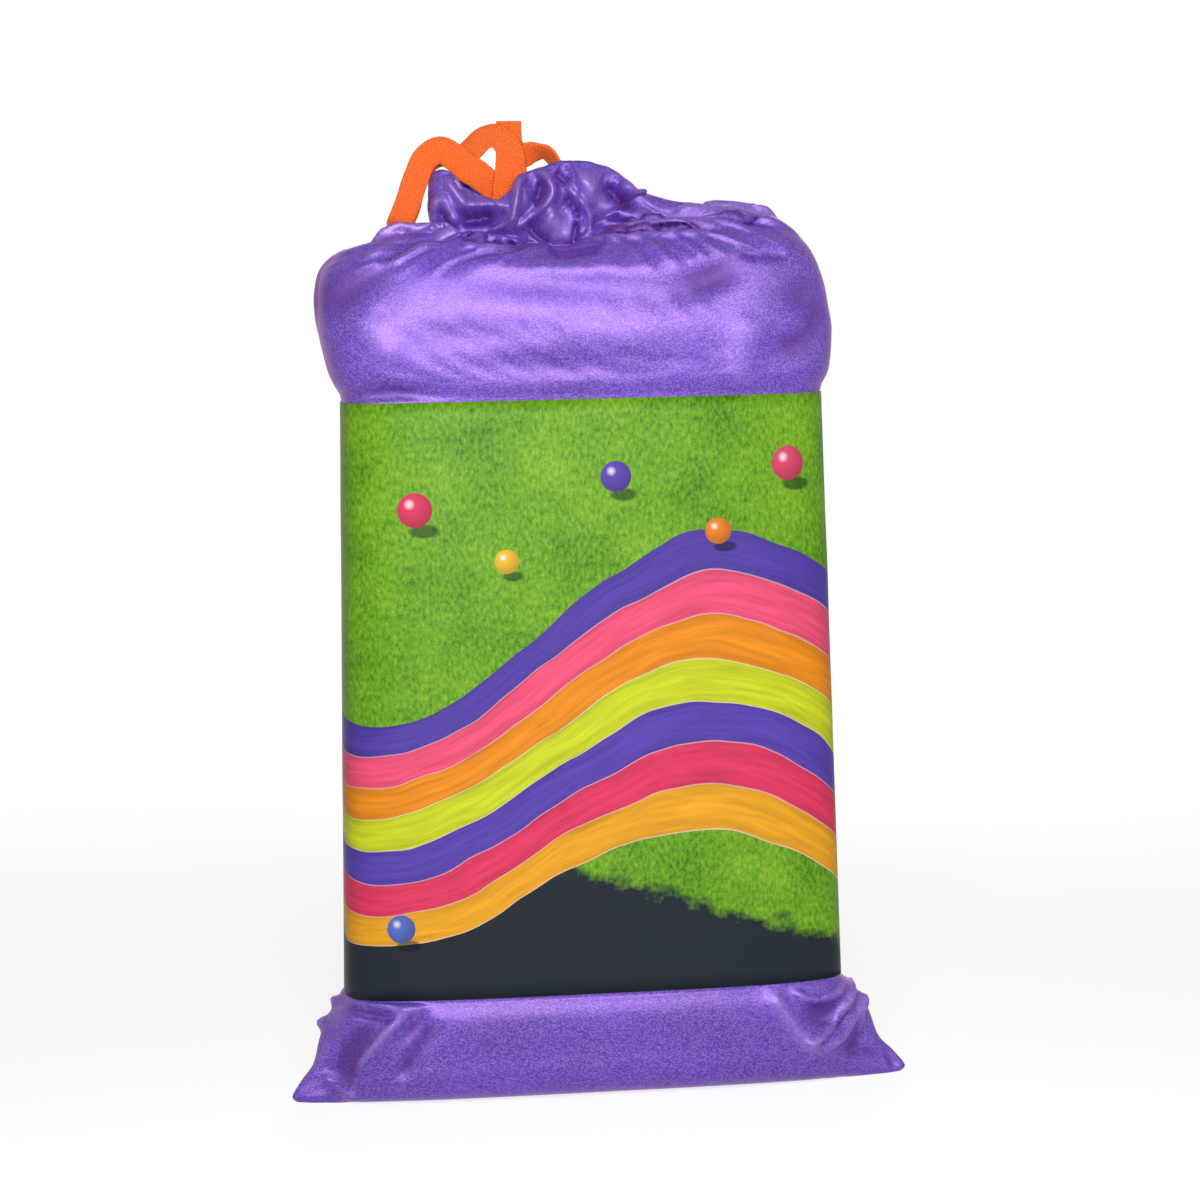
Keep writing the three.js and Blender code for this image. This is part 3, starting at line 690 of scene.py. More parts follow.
def hem_half(side, neck_row):
    """The hem from the neck up to its top edge and down again inside, to the drawcord's stitch line."""
    up = np.linspace(0, 1, HEM_UP + 1)[1:]
    down = np.linspace(1, HEM_END, HEM_DOWN + 1)[1:]
    h = np.concatenate([up, down])[:, None]
    outside = np.concatenate([np.ones(len(up)), -np.ones(len(down))])[:, None]
    off_middle = neck_row[:, 0] - HEM_MIDDLE
    c = np.clip(off_middle / np.where(off_middle > 0, NECK_SIDES[1], NECK_SIDES[0]), -1, 1)[None, :]
    s = (1 - np.abs(c) ** HEM_SQUARE) ** (1 / HEM_SQUARE)
    left = NECK_SIDES[0] + HEM_SIDES[0] * smoothstep(h / 0.5)
    right = NECK_SIDES[1] + HEM_SIDES[1] * h
    puff = outside * (0.5 + HEM_PUFF * np.sin(np.pi * np.minimum(h, 0.97)))
    x0 = HEM_MIDDLE + c * np.where(c > 0, right, left)
    depth = HEM_DEPTHS[0] + (HEM_DEPTHS[1] - HEM_DEPTHS[0]) * h
    stand = HEM_STAND[0] + (HEM_STAND[1] - HEM_STAND[0]) * smoothstep(h / 0.5)
    wave = pleat_wave(x0, h + 0 * x0, FRONT_PLEATS if side < 0 else BACK_PLEATS)
    wave *= FRONT_STAND if side < 0 else 1
    x = x0 + puff * np.sign(c) * np.abs(c) ** 5
    y = depth * s + puff * s + stand * wave * s
    edge = FRONT_EDGE if side < 0 else BACK_EDGE
    top = smoothed(np.interp(x0, *np.array(edge).T), 3)
    z = neck_row[:, 2] + (top - neck_row[:, 2]) * h
    return np.stack([x, side * np.maximum(y, 0), z], -1)


# %% Cloth
ROOF_LEVEL = 12
ROOF_Z = 388
ROOF_RISE = 46
ROOF_TILT = 0.045  # the roof rises to the right
SADDLE = (-19.5, 55, 13)  # the hollow in the roof round the neck: middle x, half width, depth
CLOTH_ROOM = 0.7
PUSH_LIMIT = 1.5
ROUNDS = 150
SLOWING = 0.9  # the share of its speed that the cloth keeps from one round to the next
THREAD_PULL = 0.4
WEAVE_PULL = 0.12
FLOOR_ROOM = 0.3
HEM_ROOM = 2.6  # what the tape needs between the hem's layers
# Bends over so many cells push straight below that share of their length, each with its own strength.
BENDS = [(2, 0.985, 0.2), (4, 0.95, 0.14), (8, 0.9, 0.06)]


def stuffing_push(points):
    """How far points inside the folded parachute must move to its surface. Its walls follow the levels,
    |x|^4 + |y|^4 = 1 at each level's size. Over the sleeve it ends in a roof, whose height counts
    squared in that sum, and the roof has a hollow round the neck. The way out is the sum's slope."""
    x, y, height = points[..., 0] - BAG_MIDDLE, points[..., 1], points[..., 2]
    walls = LEVELS[: ROOF_LEVEL + 1].T
    wall = np.minimum(height, walls[0, -1])
    left, right, b = (np.interp(wall, walls[0], walls[i]) - CLOTH_ROOM for i in (2, 3, 4))
    a = np.where(x > 0, right, left)
    hollow = SADDLE[2] * np.exp(-(((points[..., 0] - SADDLE[0]) / SADDLE[1]) ** 2))
    z = np.maximum(height - ROOF_TILT * x + hollow - ROOF_Z, 0)
    value = (x / a) ** 4 + (y / b) ** 4 + (z / ROOF_RISE) ** 2 - 1
    slope = np.stack([4 * x**3 / a**4, 4 * y**3 / b**4, 2 * z / ROOF_RISE**2], -1)
    steep = np.maximum((slope**2).sum(-1), 1e-8)
    push = (np.where(value < 0, -value, 0) / steep)[..., None] * slope
    far = np.maximum(np.linalg.norm(push, axis=-1, keepdims=True), 1e-9)
    return push * np.minimum(1, PUSH_LIMIT / far)


def stretch(points, free, rest, along, reach, share, only_apart=False):
    """Moves each pair of points, some steps apart along one way of the grid, towards its thread's true
    length. The way round the tube is closed, the way up is open."""
    if along == 1:
        other = np.roll(points, -reach, axis=1)
        far = other - points
    else:
        far = points[reach:] - points[:-reach]
    length = np.maximum(np.linalg.norm(far, axis=-1), 1e-6)
    gap = np.minimum(length - rest, 0) if only_apart else length - rest
    move = (share * gap / length)[..., None] * far
    if along == 1:
        points += free * (move - np.roll(move, reach, axis=1))
    else:
        points[:-reach] += free[:-reach] * move
        points[reach:] -= free[reach:] * move


def shear(points, free, rest, way, share):
    """The same for the diagonals of the grid's cells, which keeps the weave square."""
    other = np.roll(points, -way, axis=1)[1:]
    far = other - points[:-1]
    length = np.maximum(np.linalg.norm(far, axis=-1), 1e-6)
    move = (share * (length - rest) / length)[..., None] * far
    points[:-1] += free[:-1] * move
    points[1:] -= free[1:] * np.roll(move, way, axis=1)


def settle(points, free, rest_round, rest_up, stiff, weight, pairs):
    """Lets the tube go as cloth. In each round it sinks a little, its threads pull back to their
    lengths, its bends push straight over two, four and eight cells, the hem's two layers keep apart,
    and what holds the cloth pushes it out."""
    pinned = points.copy()
    diagonal = np.hypot((rest_round[:-1] + rest_round[1:]) / 2, rest_up)
    outer, inner = pairs
    apart = unit(points[outer] - points[inner])
    before = points.copy()
    for _ in range(ROUNDS):
        speed = SLOWING * (points - before)
        before = points.copy()
        points += free * speed
        points[..., 2:] -= free * weight
        for _ in range(2):
            stretch(points, free, rest_up, 0, 1, THREAD_PULL)
            stretch(points, free, rest_round, 1, 1, THREAD_PULL)
        shear(points, free, diagonal, 1, WEAVE_PULL)
        shear(points, free, diagonal, -1, WEAVE_PULL)
        for reach, limit, share in BENDS:
            long_up = rest_up[: len(rest_up) + 1 - reach] * reach
            stretch(points, free, rest_round * reach * limit, 1, reach, share * stiff, True)
            stretch(points, free, long_up * limit, 0, reach, share * stiff[: len(long_up)], True)
        gap = ((points[outer] - points[inner]) * apart).sum(-1, keepdims=True)
        spread = np.clip(HEM_ROOM - gap, 0, 1) / 2 * apart
        points[outer] += free[outer] * spread
        points[inner] -= free[inner] * spread
        points += free * stuffing_push(points)
        points += (1 - free) * (pinned - points)
        points[..., 2] = np.maximum(points[..., 2], FLOOR_ROOM)
    points[:] = np.where(free > 0, points, pinned)

# %% Lay out the tube and let it settle
NECK_ROW = FLOOR_ROWS + len(ROW_PLACES) - 1
LEVEL_OF_ROW = np.concatenate([np.zeros(FLOOR_ROWS), ROW_PLACES, np.full(HEM_UP + HEM_DOWN, NECK_LEVEL)])
# How much of its own folds the cloth keeps at each level, over the form that it was laid out in.
OWN_FOLDS = [(0, 0.12), (8.6, 0.12), (12.6, 0.2), (14, 0.5), (17, 0.8)]
HEM_FOLDS_SHARE = 0.5
CALM_PASSES = 60
PLEATS_FROM = 13.4  # the level where the pleats begin
TURN_FROM = 15.6  # the level where they begin to stand towards front or back
# Threads' true lengths, as shares of their laid ones. Round the tube: over the sleeve, below it, what
# is added towards the neck, and in the hem. Up the tube: what the shoulders lack, and in the hem.
ROUND_SHARE, FLAP_SHARE, NECK_SPARE, HEM_SHARE = 0.985, 0.997, 0.17, 1.12
SHOULDER_LACK, HEM_UP_SHARE = 0.045, 1.02
# How firmly the cloth is held: 1 is pinned.
HEM_HOLD = 0.35
SEAM_HOLD = 0.5
SLEEVE_HOLDS = (6.4, 8.6)  # levels of the rows that the sleeve holds still
LOWER_END = 6.6  # where the run below the sleeve ends
UPPER_START = 8.4  # where the run above it starts
# How stiff the cloth is, as a share of a bend's strength: what the full front adds, the hem, the flap.
FRONT_STIFF, HEM_STIFF, FLAP_STIFF = 1.2, 0.8, 0.3
CLOTH_WEIGHT = 0.006
FIRST_STIR = 0.1  # small random moves, so that the cloth has a way to buckle


def first_pleats(tube):
    """Pleats that begin on the shoulders and grow to the neck. Each column keeps its place in the neck's
    pleats, and stands out along the cloth's normal there, and towards front or back at the neck."""
    neck = tube[NECK_ROW : NECK_ROW + 1]
    pleats = ((-1, FRONT_PLEATS), (1, BACK_PLEATS))
    wave = all_round(*(pleat_wave(half_of(neck, side)[..., 0], 0.0, folds) for side, folds in pleats))[0]
    neck_y = neck[0, :, 1]
    s = np.abs(neck_y) / np.abs(neck_y).max()
    level = LEVEL_OF_ROW[: NECK_ROW + 1, None]
    grow, turn = (smoothstep((level - low) / (NECK_LEVEL - low)) for low in (PLEATS_FROM, TURN_FROM))
    out = -normals_of(tube, closed=True)
    side = np.stack([0 * neck_y, np.sign(neck_y), 0 * neck_y], -1)
    way = out * (1 - turn)[..., None] + side * turn[..., None]
    return HEM_STAND[0] * (grow * wave * (s * turn + 1 - turn))[..., None] * way


def lay_out():
    """The first tube: levels, shoulder pleats and hem."""
    tube = bag_levels()
    hem = all_round(*(hem_half(side, half_of(tube, side)[-1]) for side in (-1, 1)))
    return np.concatenate([tube + first_pleats(tube), hem])


def thread_lengths(tube):
    """True lengths of the threads between the grid's points, round the tube and up it."""
    level = LEVEL_OF_ROW
    spare_round = np.where(level < 7, FLAP_SHARE, ROUND_SHARE)
    spare_round += NECK_SPARE * smoothstep((level - 13) / 2)
    spare_round[NECK_ROW + 1 :] = HEM_SHARE
    over_front = np.abs(np.sin(2 * np.pi * np.arange(ROUND) / ROUND))[None, :]
    spare_up = 1 - SHOULDER_LACK * smoothstep((level[:, None] - 12) / 1.5) * over_front**0.5
    spare_up[NECK_ROW + 1 :] = HEM_UP_SHARE
    laid_round = np.linalg.norm(np.roll(tube, -1, axis=1) - tube, axis=-1)
    laid_round = np.repeat(laid_round.mean(axis=1, keepdims=True), ROUND, axis=1)
    laid_up = np.linalg.norm(np.diff(tube, axis=0), axis=-1)
    return laid_round * spare_round[:, None], laid_up * (spare_up[1:] + spare_up[:-1]) / 2


def calm(moves, passes):
    """Moves averaged with their neighbours again and again, closed round the tube and open up it."""
    for _ in range(passes):
        moves = (np.roll(moves, 1, 1) + 2 * moves + np.roll(moves, -1, 1)) / 4
        wide = np.concatenate([moves[:1], moves, moves[-1:]])
        moves = (wide[:-2] + 2 * moves + wide[2:]) / 4
    return moves


def let_go(tube):
    """Runs the cloth above the sleeve and below it. The sleeve holds the rows inside it, the drawcord
    holds the neck, and the seams pull the sides straight. Cloth is stiffest over its full front and
    softest where it is gathered."""
    rest_round, rest_up = thread_lengths(tube)
    level = LEVEL_OF_ROW
    hold = np.zeros(tube.shape[:2])
    hold[(level >= SLEEVE_HOLDS[0]) & (level <= SLEEVE_HOLDS[1])] = 1
    hold[NECK_ROW - 1 : NECK_ROW + 2] = 1
    hold[NECK_ROW + 2 : NECK_ROW + 9] = HEM_HOLD
    hold[-6:] = HEM_HOLD
    hold[[0, -1]] = 1
    seams = [0, COLUMNS - 1]
    hold[:, seams] = np.maximum(hold[:, seams], SEAM_HOLD)
    free = (1 - hold)[..., None]
    stiff = 1 + FRONT_STIFF * window(level, 8, 1, 14, 1.5)
    stiff[NECK_ROW + 1 :] = HEM_STIFF
    stiff[level < 8] = FLAP_STIFF
    stiff = stiff[:, None]
    start = int(np.argmax(level > UPPER_START))
    stop = int(np.argmax(level > LOWER_END))
    draw = np.random.RandomState(4)
    laid = tube
    tube = tube + free * FIRST_STIR * draw.standard_normal(tube.shape)
    first = NECK_ROW - start
    up = np.arange(first + 2, first + HEM_UP)
    down = len(tube) - start - 1 - np.round((up - first) * HEM_DOWN / HEM_UP).astype(int)
    pairs = (up, np.clip(down, first + HEM_UP + 1, None))
    none = (np.zeros(0, int), np.zeros(0, int))
    for part, layers, weight in ((slice(start, len(tube)), pairs, CLOTH_WEIGHT), (slice(0, stop), none, 0.0)):
        threads_up = rest_up[part.start : part.stop - 1]
        settle(tube[part], free[part], rest_round[part], threads_up, stiff[part], weight, layers)
    share = np.interp(level, *np.array(OWN_FOLDS).T)
    share[NECK_ROW + 1 :] = HEM_FOLDS_SHARE
    own = tube - laid
    return laid + share[:, None, None] * (own - calm(own, CALM_PASSES))


# %% Folds pressed in one by one, on top of the cloth's own
# The fold attribute, as a share of this height, paints shade into the satin's hollows and a highlight onto
# its crests.
FULL_FOLD = 3.2  # the fold's height that counts as full for the satin's shade
SATIN_THICKNESS = 0.5
LAYER_FLOORS = (0.05, 0.1)  # the lowest that the cloth's outer and inner face may lie
SEAM_EASE = 0.02
NECK_EASE = 0.35
BACK_SHIFT = 5
# The levels over which each kind of fold fades in and, for most, out: from, over, until, over.
FACE_LEVELS = (8, 1.2, 14.5, 1.5)
FLAP_LEVELS = (0, 0.8, 7.6, 1)
WAIST_LEVELS = (6.4, 0.8, 8.6, 1)
TOP_LEVELS = (12, 1.5)
SHOULDER_LEVELS = (13.8, 0.6)
# Each fold: width, height, step, then its route as x, z, x, z and so on. Heights above 0 stand out.
FRONT_FOLDS = [
    (6, 0.9, 0.0, -60, 414, -20, 413, 20, 410, 44, 411),
    (9, 1.3, 0.9, -102, 411, -108, 390, -97, 376, -104, 357),
    (10, 1.3, -0.9, 74, 390, 73, 380, 71, 366, 64, 350),
]
# Soft hollows: x, z, half length, half width, tilt in degrees, height.
HOLLOWS = [
    (58, 405, 18, 7.5, 18, -3.2),
    (104, 396, 11, 10, 40, -2.8),
    (112, 384, 9, 6, 60, -2.6),
    (99, 371, 14, 8, 12, -2.8),
    (-117, 402, 20, 12, 25, -3.6),
    (-98, 353, 20, 4, 0, -2.2),
    (-10, 403, 52, 7, -6, -1.3),
    (-62, 379, 32, 7, 2, -0.9),
    (-24, 364, 36, 6, -4, -1.2),
    (20, 380, 44, 9, 4, 0.7),
    (-40, 391, 46, 8, -3, 0.7),
]
FLAP_FOLDS = [
    (2.4, 3.0, 0.4, -136, 58, -121, 54.5, -104, 50.5, -84, 50),
    (2.2, -2.4, 0.0, -134, 50, -118, 47, -100, 44.5),
    (2.6, 4.2, 2.4, -92, 50, -99, 48, -108, 39, -118, 27, -127, 14),
    (5.0, -2.4, 0.8, -84, 46, -95, 30, -106, 12),
    (2.6, 2.4, 0.9, -142, 16, -132, 8, -122, 3),
    (2.6, 2.2, 0.8, -150, 12, -140, 22, -134, 34),
    (4.5, 2.8, 1.6, 82, 56, 88, 42, 98, 28, 112, 14),
    (2.3, 3.0, 0.9, 92, 52, 100, 46, 108, 44, 118, 46, 126, 54),
    (2.3, 4.2, 1.4, 131, 56, 125, 41, 116, 29, 102, 22, 94, 22),
    (2.4, 4.0, -1.0, 137, 50, 131, 35, 121, 24, 106, 16),
    (2.2, 2.8, 0.6, 136, 44, 132.5, 32, 136, 20),
    (2.2, 2.8, 0.8, 141, 42, 144, 31, 141, 18),
    (3.0, -2.0, 0.6, 120, 16, 134, 12, 148, 8),
    (2.4, -2.4, 0.4, 151, 16, 147.5, 9, 151, 1),
]
FLAP_HOLLOWS = [
    (-127, 25, 22, 7, 62, -4.0),
    (-97, 40, 10, 3, 50, -2.4),
    (112, 35, 14, 8, -28, -4.4),
    (131, 20, 10, 4, 60, -2.6),
]
# On top each fold's route is x and the height as the camera sees it, which is z less a little for
# each millimetre that the cloth stands nearer to the camera.
LOOK_DOWN = 0.105
TOP_FOLDS = [
    (2.2, 1.8, -1.2, -98, 410, -88, 414.5, -77.5, 420.5, -70, 424),
    (2.2, 2.0, -1.6, -68, 422, -53, 418, -43, 418.3, -33.5, 419.6, -20, 420),
    (2.4, -6.0, 0.0, -62, 424, -47, 423, -38, 422.5, -27, 422.5),
    (1.3, 2.2, 0.0, -72, 425.5, -57, 427.2, -50, 427.1, -41.6, 426.1, -32, 424.2),
    (2.0, 2.4, -1.4, -14, 419.4, -3.7, 420.4, 5, 421.6, 18, 422.6, 36, 423.5, 52, 424.4, 62, 422.5, 70, 418),
    (1.8, -4.6, 0.0, 0, 424.6, 18, 425.8, 36, 426.6, 56, 427, 72, 424),
    (1.3, 2.4, 0.0, 2, 427.6, 18, 429.2, 38, 430.6, 62, 430, 88, 424.5),
    (1.5, -4.0, 0.0, 10, 431.8, 40, 434, 66, 433.4, 92, 427.8),
    (1.4, 1.8, 0.0, 30, 436, 60, 437.4, 84, 433.6, 104, 426),
    (1.8, -2.6, 0.0, -104, 412.5, -94, 417, -84, 422),
    (1.6, 1.8, 0.0, -112, 413, -102, 418, -92, 423, -84, 426),
    (3.0, -1.8, 0.4, 70, 414, 84, 412, 100, 411),
]
BACK_FOLDS = [
    (2.4, 2.2, -1.0, -96, 411, -76, 418, -50, 421, -30, 421),
    (1.8, -3.0, 0.0, -88, 419, -64, 424.5, -44, 425),
    (2.4, 2.4, -1.0, -26, 417, 0, 421, 30, 423, 58, 421),
    (1.8, -3.2, 0.0, -8, 424.5, 24, 427, 60, 426),
    (1.6, 2.4, 0.0, 20, 431, 52, 432, 86, 425),
    (8, -1.4, 0.4, -40, 404, -4, 410, 34, 406),
]
# These lie on the shoulders, and their routes are x, y as seen from above.
SHOULDER_FOLDS = [
    (3.2, 8.4, 0.0, -109, -10, -99, -9.5, -88, -9, -76, -9, -66, -10, -58, -12),
    (3.0, 2.4, 0.0, -108, 6, -88, 11, -70, 9),
    (3.0, 1.8, 0.0, 34, -6, 50, -8, 66, -10, 84, -12),
    (3.0, 2.6, 0.0, 36, 7, 60, 10, 86, 8),
]
# On the hem each fold's route is x, z as seen from the front.
HEM_FOLDS = [
    (2.3, 4.0, 2.0, -71.5, 449, -73.4, 440, -75, 431),
    (2.3, 3.8, -1.8, -71.5, 449, -67.3, 440.5, -62.7, 432),
    (1.6, -4.2, 0.0, -68.7, 440, -68, 429),
    (2.3, 3.0, 1.2, -67, 458, -64.9, 452, -59.4, 444, -56, 441),
    (2.2, 3.5, 1.2, -60, 442.5, -52.5, 443.4, -43.8, 443.4, -36, 441),
    (3.2, -5.8, 0.0, -62, 434.5, -52.7, 435.5, -43, 437.5),
    (1.6, 3.0, 1.0, -48, 429.5, -38.8, 433.5, -34.3, 438.2),
    (2.0, 5.0, -2.0, -38, 426, -35.6, 435.6, -34, 444, -33, 451, -29.5, 457),
    (1.8, 5.0, 1.5, -26, 459.5, -19.6, 456.5, -16.2, 450.8, -16.2, 446.5, -20, 441.4, -27, 436.3, -35, 429),
    (2.9, 2.0, 0.0, -28.5, 453, -28, 446, -31, 438),
    (2.0, -4.8, 0.0, -20.8, 455, -21.4, 448.5, -24.5, 442),
    (5.9, 5.2, 0.0, -22, 438, -15, 434, -11, 427, -11, 420),
    (1.6, -3.8, 0.0, -27, 436, -25.5, 429, -17, 422),
    (1.6, -4.5, 0.0, -3.4, 435, -5.0, 427, -6.2, 421),
    (1.5, 4.5, -1.5, -13.8, 455.5, -6.9, 448.5, -1.2, 441.5, 2.2, 436.5, 2.2, 430, -2.2, 423),
    (2.0, -4.5, 0.0, -14.2, 459, -11, 454, -7.6, 451.4),
    (1.6, -4.0, 0.0, -9.6, 446.5, -5.4, 441.5, -2.4, 434.4),
    (4.5, 4.2, 0.0, -6, 459, 1.5, 451, 8, 442, 13, 433.5),
    (2.5, -5.0, 0.0, 11, 452, 14.5, 447, 19, 443, 23, 437),
    (2.7, 3.2, 0.0, 18, 453, 26.4, 446.5, 31.6, 440),
    (1.6, 3.0, 0.8, 6, 432.6, 16, 434, 26.6, 433.4, 36, 432.2),
    (1.4, -3.2, 0.0, 2.3, 429.6, 10.3, 430.4, 24.4, 430.8, 36, 430),
]


def add_folds(x, y, folds):
    """All folds of a list, added up."""
    return sum(crease(x, y, route, width, height, step) for width, height, step, *route in folds)


def add_hollows(x, z, hollows):
    """All soft hollows, each height exp(-(u / length)^2 - (v / width)^2) along and across its tilt."""
    total = np.zeros(x.shape)
    for px, pz, length, width, tilt, height in hollows:
        c, sn = np.cos(np.radians(tilt)), np.sin(np.radians(tilt))
        u, v = (x - px) * c + (z - pz) * sn, (z - pz) * c - (x - px) * sn
        total += height * np.exp(-((u / length) ** 2) - (v / width) ** 2)
    return total


def pressed_folds(x, depth, z, level, side):
    """How far each point of the bag's half moves out along its normal for the folds named above. On
    the back the front's folds are mirrored and a little to one side."""
    place = x if side < 0 else -x - BACK_SHIFT
    face = add_folds(place, z, FRONT_FOLDS) + add_hollows(place, z, HOLLOWS)
    flap = add_folds(place, z, FLAP_FOLDS) + add_hollows(place, z, FLAP_HOLLOWS)
    top = add_folds(place, z - LOOK_DOWN * depth, TOP_FOLDS if side < 0 else BACK_FOLDS)
    shoulder = add_folds(place, -depth, SHOULDER_FOLDS)
    out = face * window(level, *FACE_LEVELS) + flap * window(level, *FLAP_LEVELS)
    out += top * smoothstep((level - TOP_LEVELS[0]) / TOP_LEVELS[1])
    out += shoulder * smoothstep((level - SHOULDER_LEVELS[0]) / SHOULDER_LEVELS[1])
    return out - window(level, *WAIST_LEVELS) * np.maximum(out, 0)


def fold_hem(tube):
    """Presses the hem's folds through both its layers, towards the front or the back, and hands back
    how far each point moved."""
    hem = slice(NECK_ROW - 3, None)
    x, z = tube[hem, :, 0], tube[hem, :, 2]
    side = np.sign(tube[NECK_ROW, :, 1])
    place = np.where(side < 0, x, 2 * HEM_MIDDLE - x)
    out = add_folds(place, z, HEM_FOLDS)
    near_seam = np.abs(tube[NECK_ROW, :, 1]) / np.abs(tube[NECK_ROW, :, 1]).max()
    out *= smoothstep(near_seam / 0.6) * smoothstep(np.arange(len(out)) / 3)[:, None]
    facing = np.round(HEM_UP * np.linspace(1, HEM_END, HEM_DOWN + 1)[1:]).astype(int)
    out[-HEM_DOWN:] = out[3 + facing]
    tube = tube.copy()
    tube[hem, :, 1] += side * out
    pressed = np.zeros(tube.shape[:2])
    pressed[hem] = out
    return tube, pressed


def bag_panel(name, tube, pressed, side):
    """One panel of the bag with its half of the hem, from the settled tube: the pressed folds along the
    normals, and a cloth's thickness behind. The attribute called fold says how far each point was
    pressed out or in, as a share from -1 to 1, for the satin's painted shade in hollows and painted
    highlight on crests."""
    half = half_of(tube, side)
    level = np.broadcast_to(LEVEL_OF_ROW[:, None], half.shape[:2])
    below = slice(0, NECK_ROW + 1)
    out = pressed_folds(half[below, :, 0], side * half[below, :, 1], half[below, :, 2], level[below], side)
    out *= window(np.linspace(0, 1, COLUMNS)[None, :], 0, SEAM_EASE, 1, SEAM_EASE)
    out *= smoothstep((NECK_LEVEL - level[below]) / NECK_EASE)
    outer = half.copy()
    outer[below] -= side * normals_of(half)[below] * out[..., None]
    outer[..., 2] = np.maximum(outer[..., 2], LAYER_FLOORS[0])
    inner = outer + side * SATIN_THICKNESS * normals_of(outer)
    inner[..., 2] = np.maximum(inner[..., 2], LAYER_FLOORS[1])
    fold = half_of(pressed, side).copy()
    fold[below] += out
    fold = np.clip(fold / FULL_FOLD, -1, 1).ravel()
    rows = np.broadcast_to(lengths_along(outer).mean(1, keepdims=True), outer.shape[:2])
    across = np.broadcast_to(np.linspace(-EAR_REACH, EAR_REACH, COLUMNS)[None, :], rows.shape)
    panel = sheet_mesh(name, outer, inner, np.stack([across, rows], -1) / UV_UNIT, turned=side > 0)
    shade = panel.data.attributes.new("fold", "FLOAT", "POINT")
    shade.data.foreach_set("value", np.concatenate([fold, fold]).astype(np.float32))
    return panel


start = time.time()
bag_tube = lay_out()
bag_tube = let_go(bag_tube)
bag_tube, hem_pressed = fold_hem(bag_tube)
print("bag tube: %d rows of %d points, %.1f s" % (*bag_tube.shape[:2], time.time() - start))

# %% [markdown]
# ## Satin
# The bag's cloth is polyester satin: long threads float on its face, so light slides along them and
# the gloss is broad, soft and coloured. A fine slanting line shows the twill. Its threads sparkle
# through their roughness and a bump, and through painted glints: specks of a pale sheen colour mixed
# into the base colour. The sheen at grazing angles is more magenta than the cloth. Creases get
# painted shade, a darker base colour for the light that is lost between their walls, and they are
# duller. Crests get a painted highlight, a lighter base colour. The attribute called fold says where
# they are. Threads are kept in the UV map, which follows the cloth, in units of 100 mm.

# %% Satin material
SATIN_PURPLE = srgb(66, 40, 156)
SATIN_DEEP = srgb(54, 30, 138)
# A dark purple that is painted into creases and hollows as shade.
SATIN_PAINTED_FOLD_SHADE = srgb(52, 12, 116)
# A pale lavender that is painted into the base colour as sheen, on crests and in the threads' glints.
SATIN_PAINTED_SHEEN = srgb(190, 158, 228)
TWILL_SLANT = 0.62
TWILL_LINES = 900.0
THREAD_SCALE = (420, 130, 1)
THREAD_CELL = (0.008, 0.005, 1)


def satin(name, colour, deep, sheen):
    """Coloured gloss with a twill bump, small sparkles and slow changes of shade. The sparkles are a bump,
    rougher specks and painted glints, specks of the pale sheen colour in the base colour. Crests get a
    painted highlight, a lighter base colour, and hollows get painted shade, a darker base colour, and
    are duller."""
    nodes = Nodes(name)
    uv, across, along = nodes.uv()
    twill = nodes.sine(nodes.times(along, TWILL_SLANT, across), TWILL_LINES)
    threads = nodes.noise(nodes.scaled(uv, THREAD_SCALE), 1.0, 2)
    cell = nodes.vector("SNAP", uv, THREAD_CELL)
    thread = nodes.add("TexWhiteNoise", {"Vector": cell}, noise_dimensions="2D").outputs[0]
    sparkle = nodes.times(thread, 0.5, nodes.times(nodes.noise(uv, 120.0, 3, 0.75), 0.5))
    base = nodes.mix(nodes.rise(nodes.noise(uv, 2.2, 3), 0.35, 0.65), deep, colour)
    fold = nodes.add("Attribute", attribute_name="fold").outputs["Fac"]
    crest = nodes.rise(fold, 0.1, 1)
    hollow = nodes.rise(nodes.times(fold, -1.0), 0.12, 0.95, "EASE")
    # Painted highlight: the base colour of crests is mixed a little towards the pale sheen colour.
    base = nodes.mix(nodes.times(crest, 0.2), base, sheen)
    # Painted shade: the base colour of hollows is mixed towards the dark fold purple.
    base = nodes.mix(nodes.times(hollow, 0.94), base, SATIN_PAINTED_FOLD_SHADE)
    # Painted glints: thread specks whose base colour is mixed towards the pale sheen colour, less in hollows.
    painted_glint = nodes.times(nodes.rise(sparkle, 0.4, 0.74), nodes.times(hollow, -0.15, 0.23))
    bump = nodes.bump(threads, 0.35, 0.0003, nodes.bump(twill, 0.12, 0.0002))
    tangent = nodes.add("Tangent", direction_type="UV_MAP", uv_map="UVMap")
    return nodes.principled({
        "Base Color": nodes.mix(painted_glint, base, sheen),
        "Roughness": nodes.times(hollow, 0.2, nodes.times(sparkle, 0.14, 0.29)),
        "Normal": nodes.bump(sparkle, 0.3, 0.0002, bump),
        "Tangent": tangent.outputs[0],
        "Metallic": 0.2,
        "Anisotropic": 0.45,
        "Specular IOR Level": 1.0,
        "Specular Tint": (1.0, 0.6, 0.77, 1),
        "Sheen Weight": 0.28,
        "Sheen Roughness": 0.4,
        "Sheen Tint": srgb(200, 90, 190),
    })


bag_satin = satin("bag_satin", SATIN_PURPLE, SATIN_DEEP, SATIN_PAINTED_SHEEN)

# %% Make the bag's two panels
for side, way in ((-1, "front"), (1, "back")):
    panel = bag_panel("bag_%s_cloth" % way, bag_tube, hem_pressed, side)
    finish_piece(panel, "bag", "bag_satin", bag_satin, "bag_%s_panel" % way)

# %% [markdown]
# ## Knitted tape
# The tape is a soft cotton-like knit. Its chevrons point along it and its surface is matt and fuzzy.

# %% Tape material
KNIT_SLANT = 1.3
KNIT_ROWS = 62.0
KNIT_RIBS = 56.0
TAPE_ORANGES = [(0.25, srgb(190, 54, 8)), (0.5, srgb(246, 96, 22)), (0.78, srgb(255, 146, 66))]


